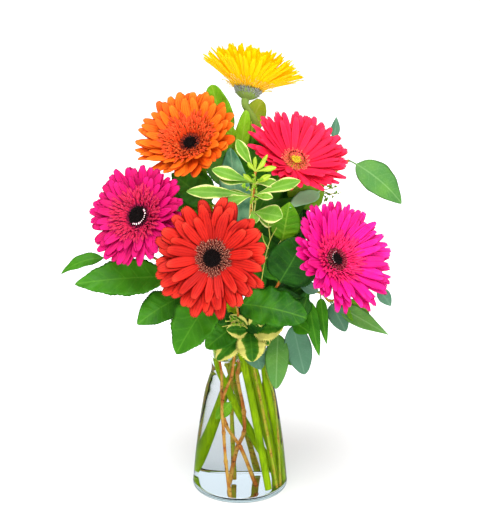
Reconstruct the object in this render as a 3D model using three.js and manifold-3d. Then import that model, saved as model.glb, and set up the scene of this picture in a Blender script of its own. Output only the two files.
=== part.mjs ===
// Six gerberas with mixed greens, standing in a clear glass vase.
// Units are millimetres. +Z is up, the vase stands on Z = 0 with its middle on the Z axis,
// and the arrangement is seen from the front when looking along +Y, with +X to the right.

import * as THREE from 'three';
import { mergeVertices } from 'three/addons/utils/BufferGeometryUtils.js';
import Module from 'manifold-3d';

const wasm = await Module();
wasm.setup();

// Vase: a flat foot, a straight taper to a waist, and a flared mouth
const VASE = { wall: 2.8, floor: 4.5, cornerRadius: 5, innerCornerRadius: 3.5, height: 163, sides: 36 };
const VASE_OUTLINE = [
  { height: VASE.cornerRadius, radius: 47.3 },
  { height: 48, radius: 43 },
  { height: 97, radius: 35.7 },
  { height: 113, radius: 31.6 },
  { height: 127.5, radius: 28.1 },
  { height: 148.6, radius: 30.8 },
  { height: VASE.height, radius: 35.5 },
];
const OUTLINE_STEPS = 12;
const CORNER_STEPS = 3;

// Clearances
const TOUCH_GAP = 0.3;
const FOOT_GAP = 0.4;
const NODE_GAP = 0.7;

// Gerbera stem, with the green cup (the calyx) that holds the petals grown in one with it.
// Head measurements run along the head's own axis, from the face of the disc backwards.
const STEM = { radius: 3.4, sides: 7, steps: 18 };
const CALYX = { radius: 13.2, depth: 19, rimDepth: 7.3, seatRadius: 11.2, seatDepth: 4.3, sides: 14 };
const NECK_BEND = 38;
const STEM_INTO_CALYX = 14;

// Ring of petals: each petal ends in a blunt tip, with a notch before the next one
const RING = { thickness: 1.3, depth: 6.2, shoulder: 0.6, notch: 0.8 };
RING.innerRadius = CALYX.seatRadius + TOUCH_GAP;
const CORNERS_PER_PETAL = 3;

// Disc of small florets in the middle of the head
const DISC = { seatRadius: 10.8, radius: 16.5, crown: 2.2, eyeRadius: 8, underside: 4, sides: 14 };

// Leaves and twigs
const LEAF = { thickness: 0.8, fold: 0.22, stalkHalfWidth: 0.7, tipHalfWidth: 0.5, steps: 6 };
const TWIG = { radius: 1.6, sides: 5, steps: 18 };
const SHOOT = { radius: 1.3, sides: 5, steps: 6 };

// Leaf kinds: where the blade is widest and how much of the leaf is stalk, as fractions of its length
const SALAL = { widest: 0.42, stalk: 0.08, colour: 0x3c8c14, roughness: 0.45 };
const PITTOSPORUM = { widest: 0.68, stalk: 0.12, colour: 0x78b432, roughness: 0.4 };
const EUCALYPTUS = { widest: 0.45, stalk: 0.14, colour: 0x5f967d, roughness: 0.55 };
const VARIEGATED = { widest: 0.55, stalk: 0.1, colour: 0x4f8f2c, roughness: 0.4 };

// The six heads: where the face of the disc is, where it looks (turn from the front towards +X,
// rise above level), how long and how raised its petals are, and the route of its stem
const GERBERAS = [
  {
    name: 'yellow', colour: 0xffd400, discColour: 0xe0b020,
    face: [9.6, 43, 408.5], turn: 154, rise: 63, reach: 41, raise: 36, petals: 18, bend: 24,
    foot: [36, 0],
    way: [[19, -1, 127], [18, 0, 152], [17.5, 4, 175], [17, 13, 220], [18, 26, 290], [16, 34, 362]],
  },
  {
    name: 'orange', colour: 0xff7819, discColour: 0x280a0c,
    face: [-47, -8, 356.5], turn: -22, rise: 45, reach: 41, raise: 28, petals: 20, bend: NECK_BEND,
    foot: [30, -9],
    way: [[10.5, -3, 127], [0, -5, 165], [-14, 0, 220], [-28, 10, 280]],
  },
  {
    name: 'coral', colour: 0xff3c64, discColour: 0xc8b43c,
    face: [53, -2, 338.6], turn: 30, rise: 54, reach: 40, raise: 26, petals: 20, bend: NECK_BEND,
    foot: [24, 22],
    way: [[6, 16, 127], [10, 19, 160], [22, 23, 220], [37, 27, 280]],
  },
  {
    name: 'magenta', colour: 0xfa148c, discColour: 0x500a28,
    face: [-94.5, -52, 297.8], turn: -28, rise: 31, reach: 37, raise: 18, petals: 18, bend: NECK_BEND,
    foot: [27, 8],
    way: [[-17, -6, 127], [-26, -9.5, 160], [-48, -14, 215], [-71, -15, 260]],
  },
  {
    name: 'red', colour: 0xf02d1e, discColour: 0x280a0c,
    face: [-25.3, -97, 271.5], turn: -14, rise: 19, reach: 43, raise: 23, petals: 18, bend: NECK_BEND,
    foot: [25, -21],
    way: [[5.5, -18, 127], [-4, -25, 175], [-15, -38, 228]],
  },
  {
    name: 'hot_pink', colour: 0xff1ea0, discColour: 0x500a28,
    face: [90.6, -55, 256.9], turn: 38, rise: 34, reach: 44, raise: 23, petals: 20, bend: NECK_BEND,
    foot: [-27, 22],
    way: [[-1, 8, 127], [16, 8, 152], [45, 0, 190], [66, -8, 220]],
  },
];

// The greens: each twig runs from its foot through its points, and a side shoot leaves one of them.
// A leaf grows from point number `at` of the twig, or of the shoot, and ends at its tip.
const TWIGS = [
  {
    name: 'salal_left', kind: SALAL, bark: 0x9a6a36, foot: [13, -10],
    way: [
      [0, -15, 50], [-12, -17, 74], [-16, -16, 105], [-16.5, -15.5, 127], [-20, -17, 150],
      [-24, -19, 168], [-38, -30, 192], [-52, -42, 216], [-61, -46, 236], [-74, -30, 245],
      [-95, -16, 250], [-113, -12, 249], [-127, -13, 244],
    ],
    leaves: [
      { name: 'long', at: 8, tip: [-155, -47, 229], width: 38, arch: 10, face: [0, -0.75, 0.66] },
      { name: 'low', at: 7, tip: [-96, -66, 196], width: 33, arch: 8, face: [-0.2, -0.7, 0.7] },
      { name: 'small', at: 12, tip: [-171, -17, 229], width: 16, arch: 10, face: [0, -0.8, 0.6] },
    ],
  },
  {
    name: 'salal_front', kind: SALAL, bark: 0xb08a58, foot: [-9, -33],
    way: [
      [-13, -31, 40], [-15, -29, 70], [-16, -23, 100], [-7.5, -21, 127], [-5, -26, 156],
      [-2, -42, 188], [-4, -60, 214], [-17, -65, 236],
    ],
    shoot: { from: 5, way: [[18, -50, 212], [36, -51, 231], [39, -45, 250], [39, -43, 268]] },
    leaves: [
      { name: 'under_red', at: 7, tip: [-59, -86, 174], width: 44, arch: 9, face: [-0.25, -0.8, 0.55] },
      { name: 'broad', at: 6, tip: [62, -80, 207], width: 34, arch: 10, face: [0.1, -0.65, 0.75] },
      { name: 'dark', on: 'shoot', at: 1, tip: [60, -50, 275], width: 44, arch: 4, face: [0.1, -1, 0.1] },
      { name: 'olive', on: 'shoot', at: 3, tip: [46, -42, 308], width: 28, arch: 2, face: [0, -1, 0.2] },
    ],
  },
  {
    name: 'pittosporum', kind: PITTOSPORUM, bark: 0xa8823c, foot: [-8, -2],
    way: [
      [-2, -5, 45], [3, -7, 62], [3, -10, 85], [-2, -11, 127], [4, -12, 150], [6, -22, 190],
      [8, -40, 245], [10, -57, 303], [12, -58, 319], [13, -57, 330], [14, -56, 341],
    ],
    leaves: [
      { name: 'spoon', at: 8, tip: [-49, -63, 324], width: 13, arch: 3, face: [0, -0.8, 0.6] },
      { name: 'upper_left', at: 9, tip: [-26, -52, 342], width: 13, arch: 2, face: [0, -0.8, 0.6] },
      { name: 'top', at: 10, tip: [-3, -51, 370], width: 10, arch: 2, face: [-0.3, -1, 0.2] },
      { name: 'right', at: 8, tip: [55, -66, 335], width: 12, arch: 4, face: [0, -0.8, 0.6] },
      { name: 'low_right', at: 7, tip: [39, -74, 303], width: 16, arch: 3, face: [0.2, -0.8, 0.5] },
    ],
  },
  {
    name: 'eucalyptus_low', kind: EUCALYPTUS, bark: 0x8c4632, foot: [36, -13],
    way: [
      [30, -4, 97], [22.6, -5.2, 127], [23, -11, 152], [26, -17, 168], [37, -28, 178], [49, -37, 190],
      [64, -41, 217], [76, -39, 218], [85, -34, 205], [97, -30, 208], [114, -22, 216], [131, -15, 217],
    ],
    leaves: [
      { name: 'hanging_left', at: 4, tip: [34, -64, 130], width: 21, arch: 8, face: [-0.1, -0.95, 0.3] },
      { name: 'hanging_right', at: 5, tip: [62, -45, 137], width: 25, arch: -3, face: [0.1, -0.95, 0.3] },
      { name: 'narrow_left', at: 6, tip: [75, -58, 161], width: 12, arch: 3, face: [-0.4, -0.9, 0.2] },
      { name: 'narrow_right', at: 7, tip: [82, -52, 171], width: 10, arch: 3, face: [-0.4, -0.9, 0.2] },
      { name: 'long', at: 8, tip: [141, -42, 177], width: 18, arch: 4, face: [0.1, -0.8, 0.6] },
      { name: 'green', at: 9, tip: [122, -62, 190], width: 22, arch: 5, face: [0.2, -0.7, 0.7] },
      { name: 'end', at: 11, tip: [145, -18, 197], width: 12, arch: 1, face: [0, -1, 0.2] },
    ],
  },
  {
    name: 'eucalyptus_high', kind: EUCALYPTUS, bark: 0x9a8c4a, foot: [18, 33],
    way: [[14, 17, 127], [17, 19, 158], [30, 24, 200], [58, 28, 265], [86, 24, 312], [104, 18, 332]],
    shoot: { from: 4, way: [[88, 31, 330], [90, 37, 346]] },
    leaves: [
      { name: 'far_right', at: 5, tip: [155, 10, 291], width: 34, arch: 14, face: [0.2, -0.85, 0.5] },
      { name: 'by_coral', on: 'shoot', at: 1, tip: [93, 44, 368], width: 9, arch: 1, face: [0.3, -0.9, 0.1] },
    ],
  },
  {
    name: 'variegated', kind: VARIEGATED, bark: 0x7c9a3a, foot: [33, -17],
    way: [[13.5, -17.5, 127], [10, -26, 156], [9, -35, 173], [9, -43, 182]],
    leaves: [
      { name: 'left', at: 3, tip: [-22, -59, 157], width: 20, arch: 5, face: [-0.2, -0.8, 0.6] },
      { name: 'front', at: 3, tip: [12, -70, 160], width: 26, arch: 5, face: [0, -0.6, 0.8] },
      { name: 'right', at: 3, tip: [41, -58, 191], width: 24, arch: 3, face: [0.1, -0.8, 0.6] },
    ],
  },
  {
    name: 'centre', kind: SALAL, bark: 0x8a9a4a, foot: [-4, 12],
    way: [
      [-6, 1, 127], [-3, 4, 165], [-2, 3, 220], [1, -3, 262], [-4, 10, 310], [-8, 18, 333], [-12, 26, 352],
    ],
    shoot: { from: 2, way: [[-12, -12, 260], [-25, -24, 300]] },
    leaves: [
      { name: 'blue_green', at: 3, tip: [-7, -16, 353], width: 24, arch: 9, face: [0, -1, 0.2] },
      {
        name: 'by_orange', on: 'shoot', at: 1, tip: [-64, -22, 330], width: 30, arch: 3, face: [0, -0.9, 0.3],
      },
      { name: 'top_left', at: 6, tip: [-27, 30, 403], width: 22, arch: 3, face: [0, -1, 0.1] },
      { name: 'top_right', at: 5, tip: [21.5, 66, 380], width: 18, arch: -3, face: [0, -1, 0.2] },
      { name: 'top_middle', at: 4, tip: [6, 14, 382], width: 12, arch: 1, face: [0, -1, 0.1] },
    ],
  },
  {
    name: 'salal_back', kind: SALAL, bark: 0x9a6a36, foot: [9, 35],
    way: [[-6, 22, 127], [-8, 24, 156], [-10, 36, 200], [-10, 44, 245], [-8, 48, 270], [-6, 50, 290]],
    leaves: [
      { name: 'left', at: 3, tip: [-76, 60, 266], width: 40, arch: 8, face: [0, 0.8, 0.6] },
      { name: 'right', at: 3, tip: [64, 62, 258], width: 40, arch: 8, face: [0, 0.8, 0.6] },
      { name: 'upper_left', at: 5, tip: [-30, 66, 352], width: 36, arch: 5, face: [-0.1, 1, 0.3] },
      { name: 'upper_right', at: 4, tip: [50, 62, 332], width: 34, arch: 5, face: [0.1, 1, 0.3] },
    ],
  },
];

const vector = (point) => new THREE.Vector3(...point);
const degrees = THREE.MathUtils.degToRad;
const arrangement = new THREE.Group();

function signedVolume(geometry) {
  const corner = [new THREE.Vector3(), new THREE.Vector3(), new THREE.Vector3()];
  let volume = 0;
  const { index, attributes } = geometry;
  for (let i = 0; i < index.count; i += 3) {
    corner.forEach((c, k) => c.fromBufferAttribute(attributes.position, index.getX(i + k)));
    volume += corner[0].dot(corner[1].clone().cross(corner[2])) / 6;
  }
  return volume;
}

// Joins the shared corners of a closed geometry and turns its faces outwards
function closed(geometry) {
  geometry.deleteAttribute('normal');
  geometry.deleteAttribute('uv');
  const merged = mergeVertices(geometry, 1e-4);
  if (signedVolume(merged) < 0) {
    const index = merged.index;
    for (let i = 0; i < index.count; i += 3) {
      const first = index.getX(i);
      index.setX(i, index.getX(i + 1));
      index.setX(i + 1, first);
    }
  }
  return merged;
}

function toSolid(geometry) {
  const merged = closed(geometry);
  const vertProperties = merged.attributes.position.array;
  const triVerts = new Uint32Array(merged.index.array);
  return new wasm.Manifold(new wasm.Mesh({ numProp: 3, vertProperties, triVerts }));
}

function toGeometry(solid) {
  const mesh = solid.getMesh();
  const geometry = new THREE.BufferGeometry();
  geometry.setAttribute('position', new THREE.BufferAttribute(mesh.vertProperties, 3));
  geometry.setIndex(new THREE.BufferAttribute(mesh.triVerts, 1));
  return geometry;
}

function addPiece(parent, name, geometry, colour, roughness, extra = {}) {
  const material = new THREE.MeshStandardMaterial({ color: colour, roughness, metalness: 0, ...extra });
  const piece = new THREE.Mesh(geometry, material);
  piece.name = name;
  parent.add(piece);
}

// A LatheGeometry turns about Y, so it is stood up to turn about Z
function turned(profile, sides) {
  const points = profile.map(([radius, height]) => new THREE.Vector2(radius, height));
  return new THREE.LatheGeometry(points, sides).rotateX(Math.PI / 2);
}

function arc(centreRadius, centreHeight, radius, from, to) {
  const points = [];
  for (let i = 0; i <= CORNER_STEPS; i += 1) {
    const angle = degrees(from + (to - from) * i / CORNER_STEPS);
    points.push([centreRadius + radius * Math.cos(angle), centreHeight + radius * Math.sin(angle)]);
  }
  return points;
}

function vaseProfile() {
  const outline = new THREE.SplineCurve(VASE_OUTLINE.map((p) => new THREE.Vector2(p.radius, p.height)));
  const outside = outline.getPoints(OUTLINE_STEPS).map((p) => [p.x, p.y]);
  const footRadius = outside[0][0];
  const innerFoot = footRadius - VASE.wall;
  const innerStart = VASE.floor + VASE.innerCornerRadius;
  const inside = outside.filter((p) => p[1] > innerStart).map(([r, h]) => [r - VASE.wall, h]);
  const rimRadius = outside[outside.length - 1][0] - VASE.wall / 2;
  const inCorner = innerFoot - VASE.innerCornerRadius;
  return [
    [0, 0],
    ...arc(footRadius - VASE.cornerRadius, VASE.cornerRadius, VASE.cornerRadius, -90, 0),
    ...outside.slice(1),
    [rimRadius, VASE.height + VASE.wall / 3],
    ...inside.reverse(),
    ...arc(inCorner, innerStart, VASE.innerCornerRadius, 0, -90),
    [0, VASE.floor],
  ];
}

// A round bar along a smooth route; the end faces are square to it
function bar(route, radius, sides, steps) {
  const corners = [];
  for (let i = 0; i < sides; i += 1) {
    const angle = 2 * Math.PI * i / sides;
    corners.push(new THREE.Vector2(radius * Math.cos(angle), radius * Math.sin(angle)));
  }
  const extrudePath = new THREE.CatmullRomCurve3(route);
  return new THREE.ExtrudeGeometry(new THREE.Shape(corners), { steps, extrudePath, bevelEnabled: false });
}

// The foot stands just clear of the vase floor, allowing for the lean of the stem
function footPoint(foot, next, radius) {
  const point = new THREE.Vector3(foot[0], foot[1], VASE.floor);
  const toNext = vector(next).sub(point);
  const lean = Math.hypot(toNext.x, toNext.y) / toNext.length();
  point.z += FOOT_GAP + radius * lean;
  return point;
}

// Turns +Z of a head to where the flower looks
function facing(turn, rise) {
  const level = Math.cos(degrees(rise));
  const axis = new THREE.Vector3(Math.sin(degrees(turn)), -Math.cos(degrees(turn)), 0).multiplyScalar(level);
  axis.z = Math.sin(degrees(rise));
  const rotation = new THREE.Quaternion().setFromUnitVectors(new THREE.Vector3(0, 0, 1), axis);
  return { axis, rotation };
}

const calyxProfile = [
  [0, -CALYX.depth],
  [STEM.radius + 0.8, -CALYX.depth],
  [0.66 * CALYX.radius, -CALYX.depth + 3.4],
  [0.95 * CALYX.radius, -CALYX.depth + 8],
  [CALYX.radius, -CALYX.rimDepth - 0.6],
  [CALYX.seatRadius, -CALYX.rimDepth],
  [CALYX.seatRadius, -CALYX.seatDepth],
  [0, -CALYX.seatDepth],
];

const discProfile = [
  [0, -DISC.underside],
  [DISC.seatRadius, -DISC.underside],
  [DISC.radius, 0.5],
  [0.8 * DISC.radius, DISC.crown],
  [DISC.eyeRadius, 0.6],
  [0, 0],
];

// The lathe ring is first made with heights of -1 and 1 and a width of one, then each corner is moved
// to its place on a raised petal
function petalRing({ reach, raise, petals }) {
  const waist = 1 + RING.shoulder;
  const section = [[1, -1], [waist, -1], [2, -1], [2, 1], [waist, 1], [1, 1], [1, -1]];
  const segments = petals * CORNERS_PER_PETAL;
  const ring = turned(section, segments);
  const position = ring.attributes.position;
  const slope = degrees(raise);
  for (let i = 0; i < position.count; i += 1) {
    const angle = Math.atan2(position.getY(i), position.getX(i));
    const out = Math.hypot(position.getX(i), position.getY(i)) - 1;
    const step = Math.round((angle / (2 * Math.PI) + 0.25 + 1) * segments);
    const isNotch = step % CORNERS_PER_PETAL === 0;
    const length = reach * out * (isNotch && out > 0.9 ? RING.notch : 1);
    const radius = RING.innerRadius + length * Math.cos(slope);
    const height = -RING.depth + length * Math.sin(slope) + position.getZ(i) * RING.thickness / 2;
    position.setXYZ(i, radius * Math.cos(angle), radius * Math.sin(angle), height);
  }
  return closed(ring);
}

function addGerbera(spec) {
  const { axis, rotation } = facing(spec.turn, spec.rise);
  const face = vector(spec.face);
  const alongNeck = (distance) => face.clone().addScaledVector(axis, -distance);
  const route = [
    footPoint(spec.foot, spec.way[0], STEM.radius),
    ...spec.way.map(vector),
    alongNeck(spec.bend),
    alongNeck(STEM_INTO_CALYX),
  ];
  const placement = new THREE.Matrix4().compose(face, rotation, new THREE.Vector3(1, 1, 1));
  const calyx = turned(calyxProfile, CALYX.sides).applyMatrix4(placement);
  const stem = toSolid(bar(route, STEM.radius, STEM.sides, STEM.steps)).add(toSolid(calyx));
  addPiece(arrangement, `${spec.name}_gerbera_stem`, toGeometry(stem), 0x82aa3c, 0.5);

  const head = new THREE.Group();
  head.position.copy(face);
  head.quaternion.copy(rotation);
  addPiece(head, `${spec.name}_gerbera_petals`, petalRing(spec), spec.colour, 0.55);
  addPiece(head, `${spec.name}_gerbera_disc`, closed(turned(discProfile, DISC.sides)), spec.discColour, 0.8);
  arrangement.add(head);
}

function halfWidth(t, width, kind) {
  if (t <= kind.stalk) return LEAF.stalkHalfWidth;
  const along = (t - kind.stalk) / (1 - kind.stalk);
  const sharpness = Math.log(0.5) / Math.log(kind.widest);
  const blade = Math.sin(Math.PI * along ** sharpness) * width / 2;
  return THREE.MathUtils.lerp(LEAF.stalkHalfWidth, LEAF.tipHalfWidth, along) + Math.max(blade, 0);
}

// A thin box is bent along the leaf's middle rib, widened into the blade and folded up at its margins
function leafGeometry(base, leaf, kind) {
  const tip = vector(leaf.tip);
  const along = tip.clone().sub(base).normalize();
  const up = vector(leaf.face);
  up.addScaledVector(along, -up.dot(along)).normalize();
  const middle = base.clone().lerp(tip, 0.5).addScaledVector(up, leaf.arch);
  const rib = new THREE.QuadraticBezierCurve3(base, middle, tip);
  const blade = new THREE.BoxGeometry(1, 2, 1, LEAF.steps, 2, 1);
  const position = blade.attributes.position;
  for (let i = 0; i < position.count; i += 1) {
    const t = position.getX(i) + 0.5;
    const across = position.getY(i);
    const tangent = rib.getTangent(t);
    const side = new THREE.Vector3().crossVectors(up, tangent).normalize();
    const normal = new THREE.Vector3().crossVectors(tangent, side);
    const half = halfWidth(t, leaf.width, kind);
    const lift = LEAF.fold * Math.abs(across) * half + position.getZ(i) * LEAF.thickness;
    const point = rib.getPoint(t).addScaledVector(side, across * half).addScaledVector(normal, lift);
    position.setXYZ(i, point.x, point.y, point.z);
  }
  return closed(blade);
}

// Where a leaf meets its bar: beside it, or just past its end when the leaf is the last one
function leafBase(route, radius, steps, point, tip) {
  const stops = new THREE.CatmullRomCurve3(route).getSpacedPoints(steps);
  const node = new THREE.Vector3();
  const tangent = new THREE.Vector3();
  let nearest = Infinity;
  for (let i = 0; i < steps; i += 1) {
    const stretch = new THREE.Line3(stops[i], stops[i + 1]);
    const onStretch = stretch.closestPointToPoint(point, true, new THREE.Vector3());
    if (onStretch.distanceTo(point) < nearest) {
      nearest = onStretch.distanceTo(point);
      node.copy(onStretch);
      stretch.delta(tangent).normalize();
    }
  }
  const toTip = tip.clone().sub(node).normalize();
  const alongBar = toTip.dot(tangent);
  const outward = toTip.clone().addScaledVector(tangent, -alongBar);
  const isLast = node.distanceTo(stops[steps]) < radius;
  if (isLast && alongBar > 0) {
    const pastEnd = NODE_GAP / alongBar;
    const pastSide = (radius + NODE_GAP) / outward.length();
    return node.addScaledVector(toTip, Math.min(pastEnd, pastSide));
  }
  return node.addScaledVector(outward.normalize(), radius + NODE_GAP);
}

function addTwig(spec) {
  const way = spec.way.map(vector);
  const main = [footPoint(spec.foot, spec.way[0], TWIG.radius), ...way];
  let wood = toSolid(bar(main, TWIG.radius, TWIG.sides, TWIG.steps));
  let shoot = [];
  if (spec.shoot) {
    shoot = [way[spec.shoot.from], ...spec.shoot.way.map(vector)];
    wood = wood.add(toSolid(bar(shoot, SHOOT.radius, SHOOT.sides, SHOOT.steps)));
  }
  addPiece(arrangement, `${spec.name}_twig`, toGeometry(wood), spec.bark, 0.7);
  for (const leaf of spec.leaves) {
    const onShoot = leaf.on === 'shoot';
    const grower = onShoot ? SHOOT : TWIG;
    const point = onShoot ? shoot[leaf.at + 1] : way[leaf.at];
    const base = leafBase(onShoot ? shoot : main, grower.radius, grower.steps, point, vector(leaf.tip));
    const geometry = leafGeometry(base, leaf, spec.kind);
    addPiece(arrangement, `${spec.name}_leaf_${leaf.name}`, geometry, spec.kind.colour, spec.kind.roughness);
  }
}

const glass = { transparent: true, opacity: 0.35 };
addPiece(arrangement, 'vase', closed(turned(vaseProfile(), VASE.sides)), 0xdff0ee, 0.05, glass);
GERBERAS.forEach(addGerbera);
TWIGS.forEach(addTwig);

export default arrangement;
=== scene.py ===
# %% [markdown]
# # Six gerberas and their greenery in a glass vase
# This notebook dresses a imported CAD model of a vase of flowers. The model comes in as a fixed frame in
# metres: nothing in it is moved, and each piece made here stands where its CAD solid stands. The order
# is camera, helpers, finishes, vase and water, gerberas, greenery, then studio. Sizes are written in
# millimetres and become metres near the end of each step, because flowers are easier to think about so.

# %% Load the frame
import math

import bpy
import numpy as np
from mathutils import Matrix, Vector


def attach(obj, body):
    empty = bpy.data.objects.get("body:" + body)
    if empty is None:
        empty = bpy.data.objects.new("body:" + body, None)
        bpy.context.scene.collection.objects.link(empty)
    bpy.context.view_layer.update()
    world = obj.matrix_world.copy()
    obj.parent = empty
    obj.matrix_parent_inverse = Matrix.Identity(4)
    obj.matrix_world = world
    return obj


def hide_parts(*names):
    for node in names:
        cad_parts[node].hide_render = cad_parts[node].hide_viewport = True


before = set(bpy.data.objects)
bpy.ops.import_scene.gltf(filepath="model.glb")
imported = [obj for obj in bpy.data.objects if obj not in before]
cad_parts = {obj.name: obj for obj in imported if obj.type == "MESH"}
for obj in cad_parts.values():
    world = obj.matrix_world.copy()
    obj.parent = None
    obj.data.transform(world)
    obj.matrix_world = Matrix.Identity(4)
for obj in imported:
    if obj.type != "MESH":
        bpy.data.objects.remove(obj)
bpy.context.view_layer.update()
scene = bpy.context.scene
MM = 0.001

# %% [markdown]
# ## The camera
# The photograph looks a little down on the arrangement with a long lens, which keeps the vase from
# tapering. A camera 1.5 m away and 0.74 m up, pitched 18 degrees down, gives the same ellipses at the
# foot of the vase and in the faces of the flowers. It comes first, so that every look is from there.

# %% Camera
CAMERA_PLACE = (0.0, -1.5, 0.735)
CAMERA_PITCH = math.radians(18.35)
LONG_LENS, SENSOR_WIDTH = 113.54, 36.0

camera_data = bpy.data.cameras.new("camera")
camera_data.lens = LONG_LENS
camera_data.sensor_width = SENSOR_WIDTH
camera = bpy.data.objects.new("camera", camera_data)
camera.location = CAMERA_PLACE
camera.rotation_euler = (math.pi / 2 - CAMERA_PITCH, 0, 0)
scene.collection.objects.link(camera)
bpy.context.scene.camera = camera
print("camera at", CAMERA_PLACE, "with a lens of", LONG_LENS, "mm")

# %% [markdown]
# ## Writing node trees as sums
# Both finishes and Geometry Nodes are graphs, and graphs written link by link hide their arithmetic. A
# small class wraps one socket that carries a number, so that `1 - mask * 2` adds its own Math nodes. A
# second class is the bench on which any other node is made: settings first, then sockets.


# %% The wire and the bench
class Wire:
    """A number on its way between two nodes."""

    def __init__(self, bench, socket):
        self.bench, self.socket = bench, socket

    def other(self, name):
        """Another output of the node that this wire comes from."""
        return Wire(self.bench, self.socket.node.outputs[name])

    def __add__(self, other):
        return self.bench.maths("ADD", self, other)

    def __sub__(self, other):
        return self.bench.maths("SUBTRACT", self, other)

    def __rsub__(self, other):
        return self.bench.maths("SUBTRACT", other, self)

    def __mul__(self, other):
        return self.bench.maths("MULTIPLY", self, other)

    def __truediv__(self, other):
        return self.bench.maths("DIVIDE", self, other)

    def __pow__(self, other):
        return self.bench.maths("POWER", self, other)

    def __abs__(self):
        return self.bench.maths("ABSOLUTE", self)

    __radd__, __rmul__ = __add__, __mul__

    def sine(self):
        return self.bench.maths("SINE", self)

    def fraction(self):
        return self.bench.maths("FRACT", self)


class Bench:
    """Where one node tree is put together."""

    def __init__(self, tree):
        self.tree = tree

    def node(self, kind, settings=None, sockets=None, out=None):
        made = self.tree.nodes.new(kind)
        for name, value in (settings or {}).items():
            if name == "stops":
                self.set_stops(made.color_ramp.elements, value)
            else:
                setattr(made, name, value)
        for name, value in (sockets or {}).items():
            self.plug(self.find(made.inputs, name), value)
        shown = [o for o in made.outputs if o.enabled and out in (None, o.name)]
        return Wire(self, shown[0]) if shown else made

    def find(self, sockets, name):
        if isinstance(name, int):
            return sockets[name]
        return next(s for s in sockets if s.name == name and s.enabled)

    def plug(self, socket, value):
        if isinstance(value, Wire):
            self.tree.links.new(value.socket, socket)
        elif isinstance(value, tuple) and socket.type == "RGBA" and len(value) == 3:
            socket.default_value = (*value, 1)
        else:
            socket.default_value = value

    def set_stops(self, elements, stops):
        while len(elements) < len(stops):
            elements.new(1)
        for element, (place, colour) in zip(elements, stops):
            element.position = place
            element.color = (*colour, 1)

    def maths(self, operation, *numbers):
        return self.node("ShaderNodeMath", {"operation": operation}, dict(enumerate(numbers)))

    def ease(self, value, low, high):
        """0 below low, 1 above high and a smooth rise between them."""
        sockets = {"Value": value, "From Min": low, "From Max": high}
        return self.node("ShaderNodeMapRange", {"interpolation_type": "SMOOTHSTEP"}, sockets)

    def mix(self, factor, first, second):
        return self.node("ShaderNodeMix", {"data_type": "RGBA"}, {"Factor": factor, "A": first, "B": second})

    def blend(self, share, first, second):
        """Two shaders, the second with this share."""
        return self.node("ShaderNodeMixShader", None, {0: share, 1: first, 2: second})

    def ramp(self, number, *stops):
        """Colours along a number, from (place, colour) stops."""
        return self.node("ShaderNodeValToRGB", {"stops": stops}, {"Fac": number}, out="Color")

    def mark(self, name):
        """A number stored on the piece's own vertices."""
        return self.node("ShaderNodeAttribute", {"attribute_name": name}, out="Fac")

    def mirrored(self):
        """1 where the ray comes off a gloss, 0 where it comes straight or through glass."""
        glossy = self.node("ShaderNodeLightPath", out="Is Glossy Ray")
        return glossy * glossy.other("Is Reflection Ray")

    def place(self):
        return self.node("ShaderNodeTexCoord", out="Object")

    def noise(self, scale, detail=3.0, rough=0.5, stretch=None):
        place = self.place()
        if stretch:
            place = self.node("ShaderNodeMapping", None, {"Vector": place, "Scale": stretch})
        sockets = {"Vector": place, "Scale": scale, "Detail": detail, "Roughness": rough}
        return self.node("ShaderNodeTexNoise", None, sockets, out="Fac")

    def coat(self, colour, roughness, height, bump, specular=0.5, more=None):
        """A Principled shader whose bump is (strength, depth in metres). more holds its other sockets."""
        sockets = {"Strength": bump[0], "Distance": bump[1], "Height": height}
        normal = self.node("ShaderNodeBump", None, sockets)
        sockets = {"Base Color": colour, "Roughness": roughness, "Normal": normal}
        sockets |= {"Specular IOR Level": specular, **(more or {})}
        return self.node("ShaderNodeBsdfPrincipled", None, sockets)

    def thin(self, solid, glow, share):
        """The solid shader with a share of light let through from behind."""
        through = self.node("ShaderNodeBsdfTranslucent", None, {"Color": glow})
        return self.blend(share, solid, through)

    def finish(self, surface, **volume):
        self.node("ShaderNodeOutputMaterial", None, {"Surface": surface, **volume})


print("Math nodes are written as sums from here on")

# %% [markdown]
# ## Colours
# Colours are picked as a screen shows them, from 0 to 255, and Blender wants them linear. The studio is
# bright, so every finish is made a little darker than it should look. Where a colour has a fourth
# number, that is its own gain.

# %% Screen colours to linear ones
STUDIO_GAIN = 0.86


def shade(red, green, blue, gain=STUDIO_GAIN):
    linear = []
    for value in (red, green, blue):
        part = value / 255
        part = part / 12.92 if part <= 0.04045 else ((part + 0.055) / 1.055) ** 2.4
        linear.append(min(1.0, part * gain))
    return tuple(linear)


def shades(*colours):
    return [shade(*colour) for colour in colours]


def new_finish(name):
    material = bpy.data.materials.new(name)
    material.use_nodes = True
    material.node_tree.nodes.clear()
    return material, Bench(material.node_tree)


print("pure orange becomes", tuple(round(v, 3) for v in shade(255, 120, 20)))

# %% [markdown]
# ## Petal finish
# A gerbera's ray petal is velvety, with fine veins that run its whole length, a deeper colour where it
# dives into the head and a paler back. The deeper base is partly its own colour and partly painted shade
# of the hollow head; darker margins are painted shade of rolled edges, and the veins are dark partly as
# painted shade in the furrows. One finish makes all six colours. It reads the numbers that each petal
# carries, such as how far along and how far across a point is, so the veins bend with the petal. A petal
# is so thin that light comes through it, and a Translucent shader with one plain colour does that. On the
# yellow flower an emission of that colour adds a painted glow.

# %% Petal finish
PETAL_VEINS = 15.0


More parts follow.
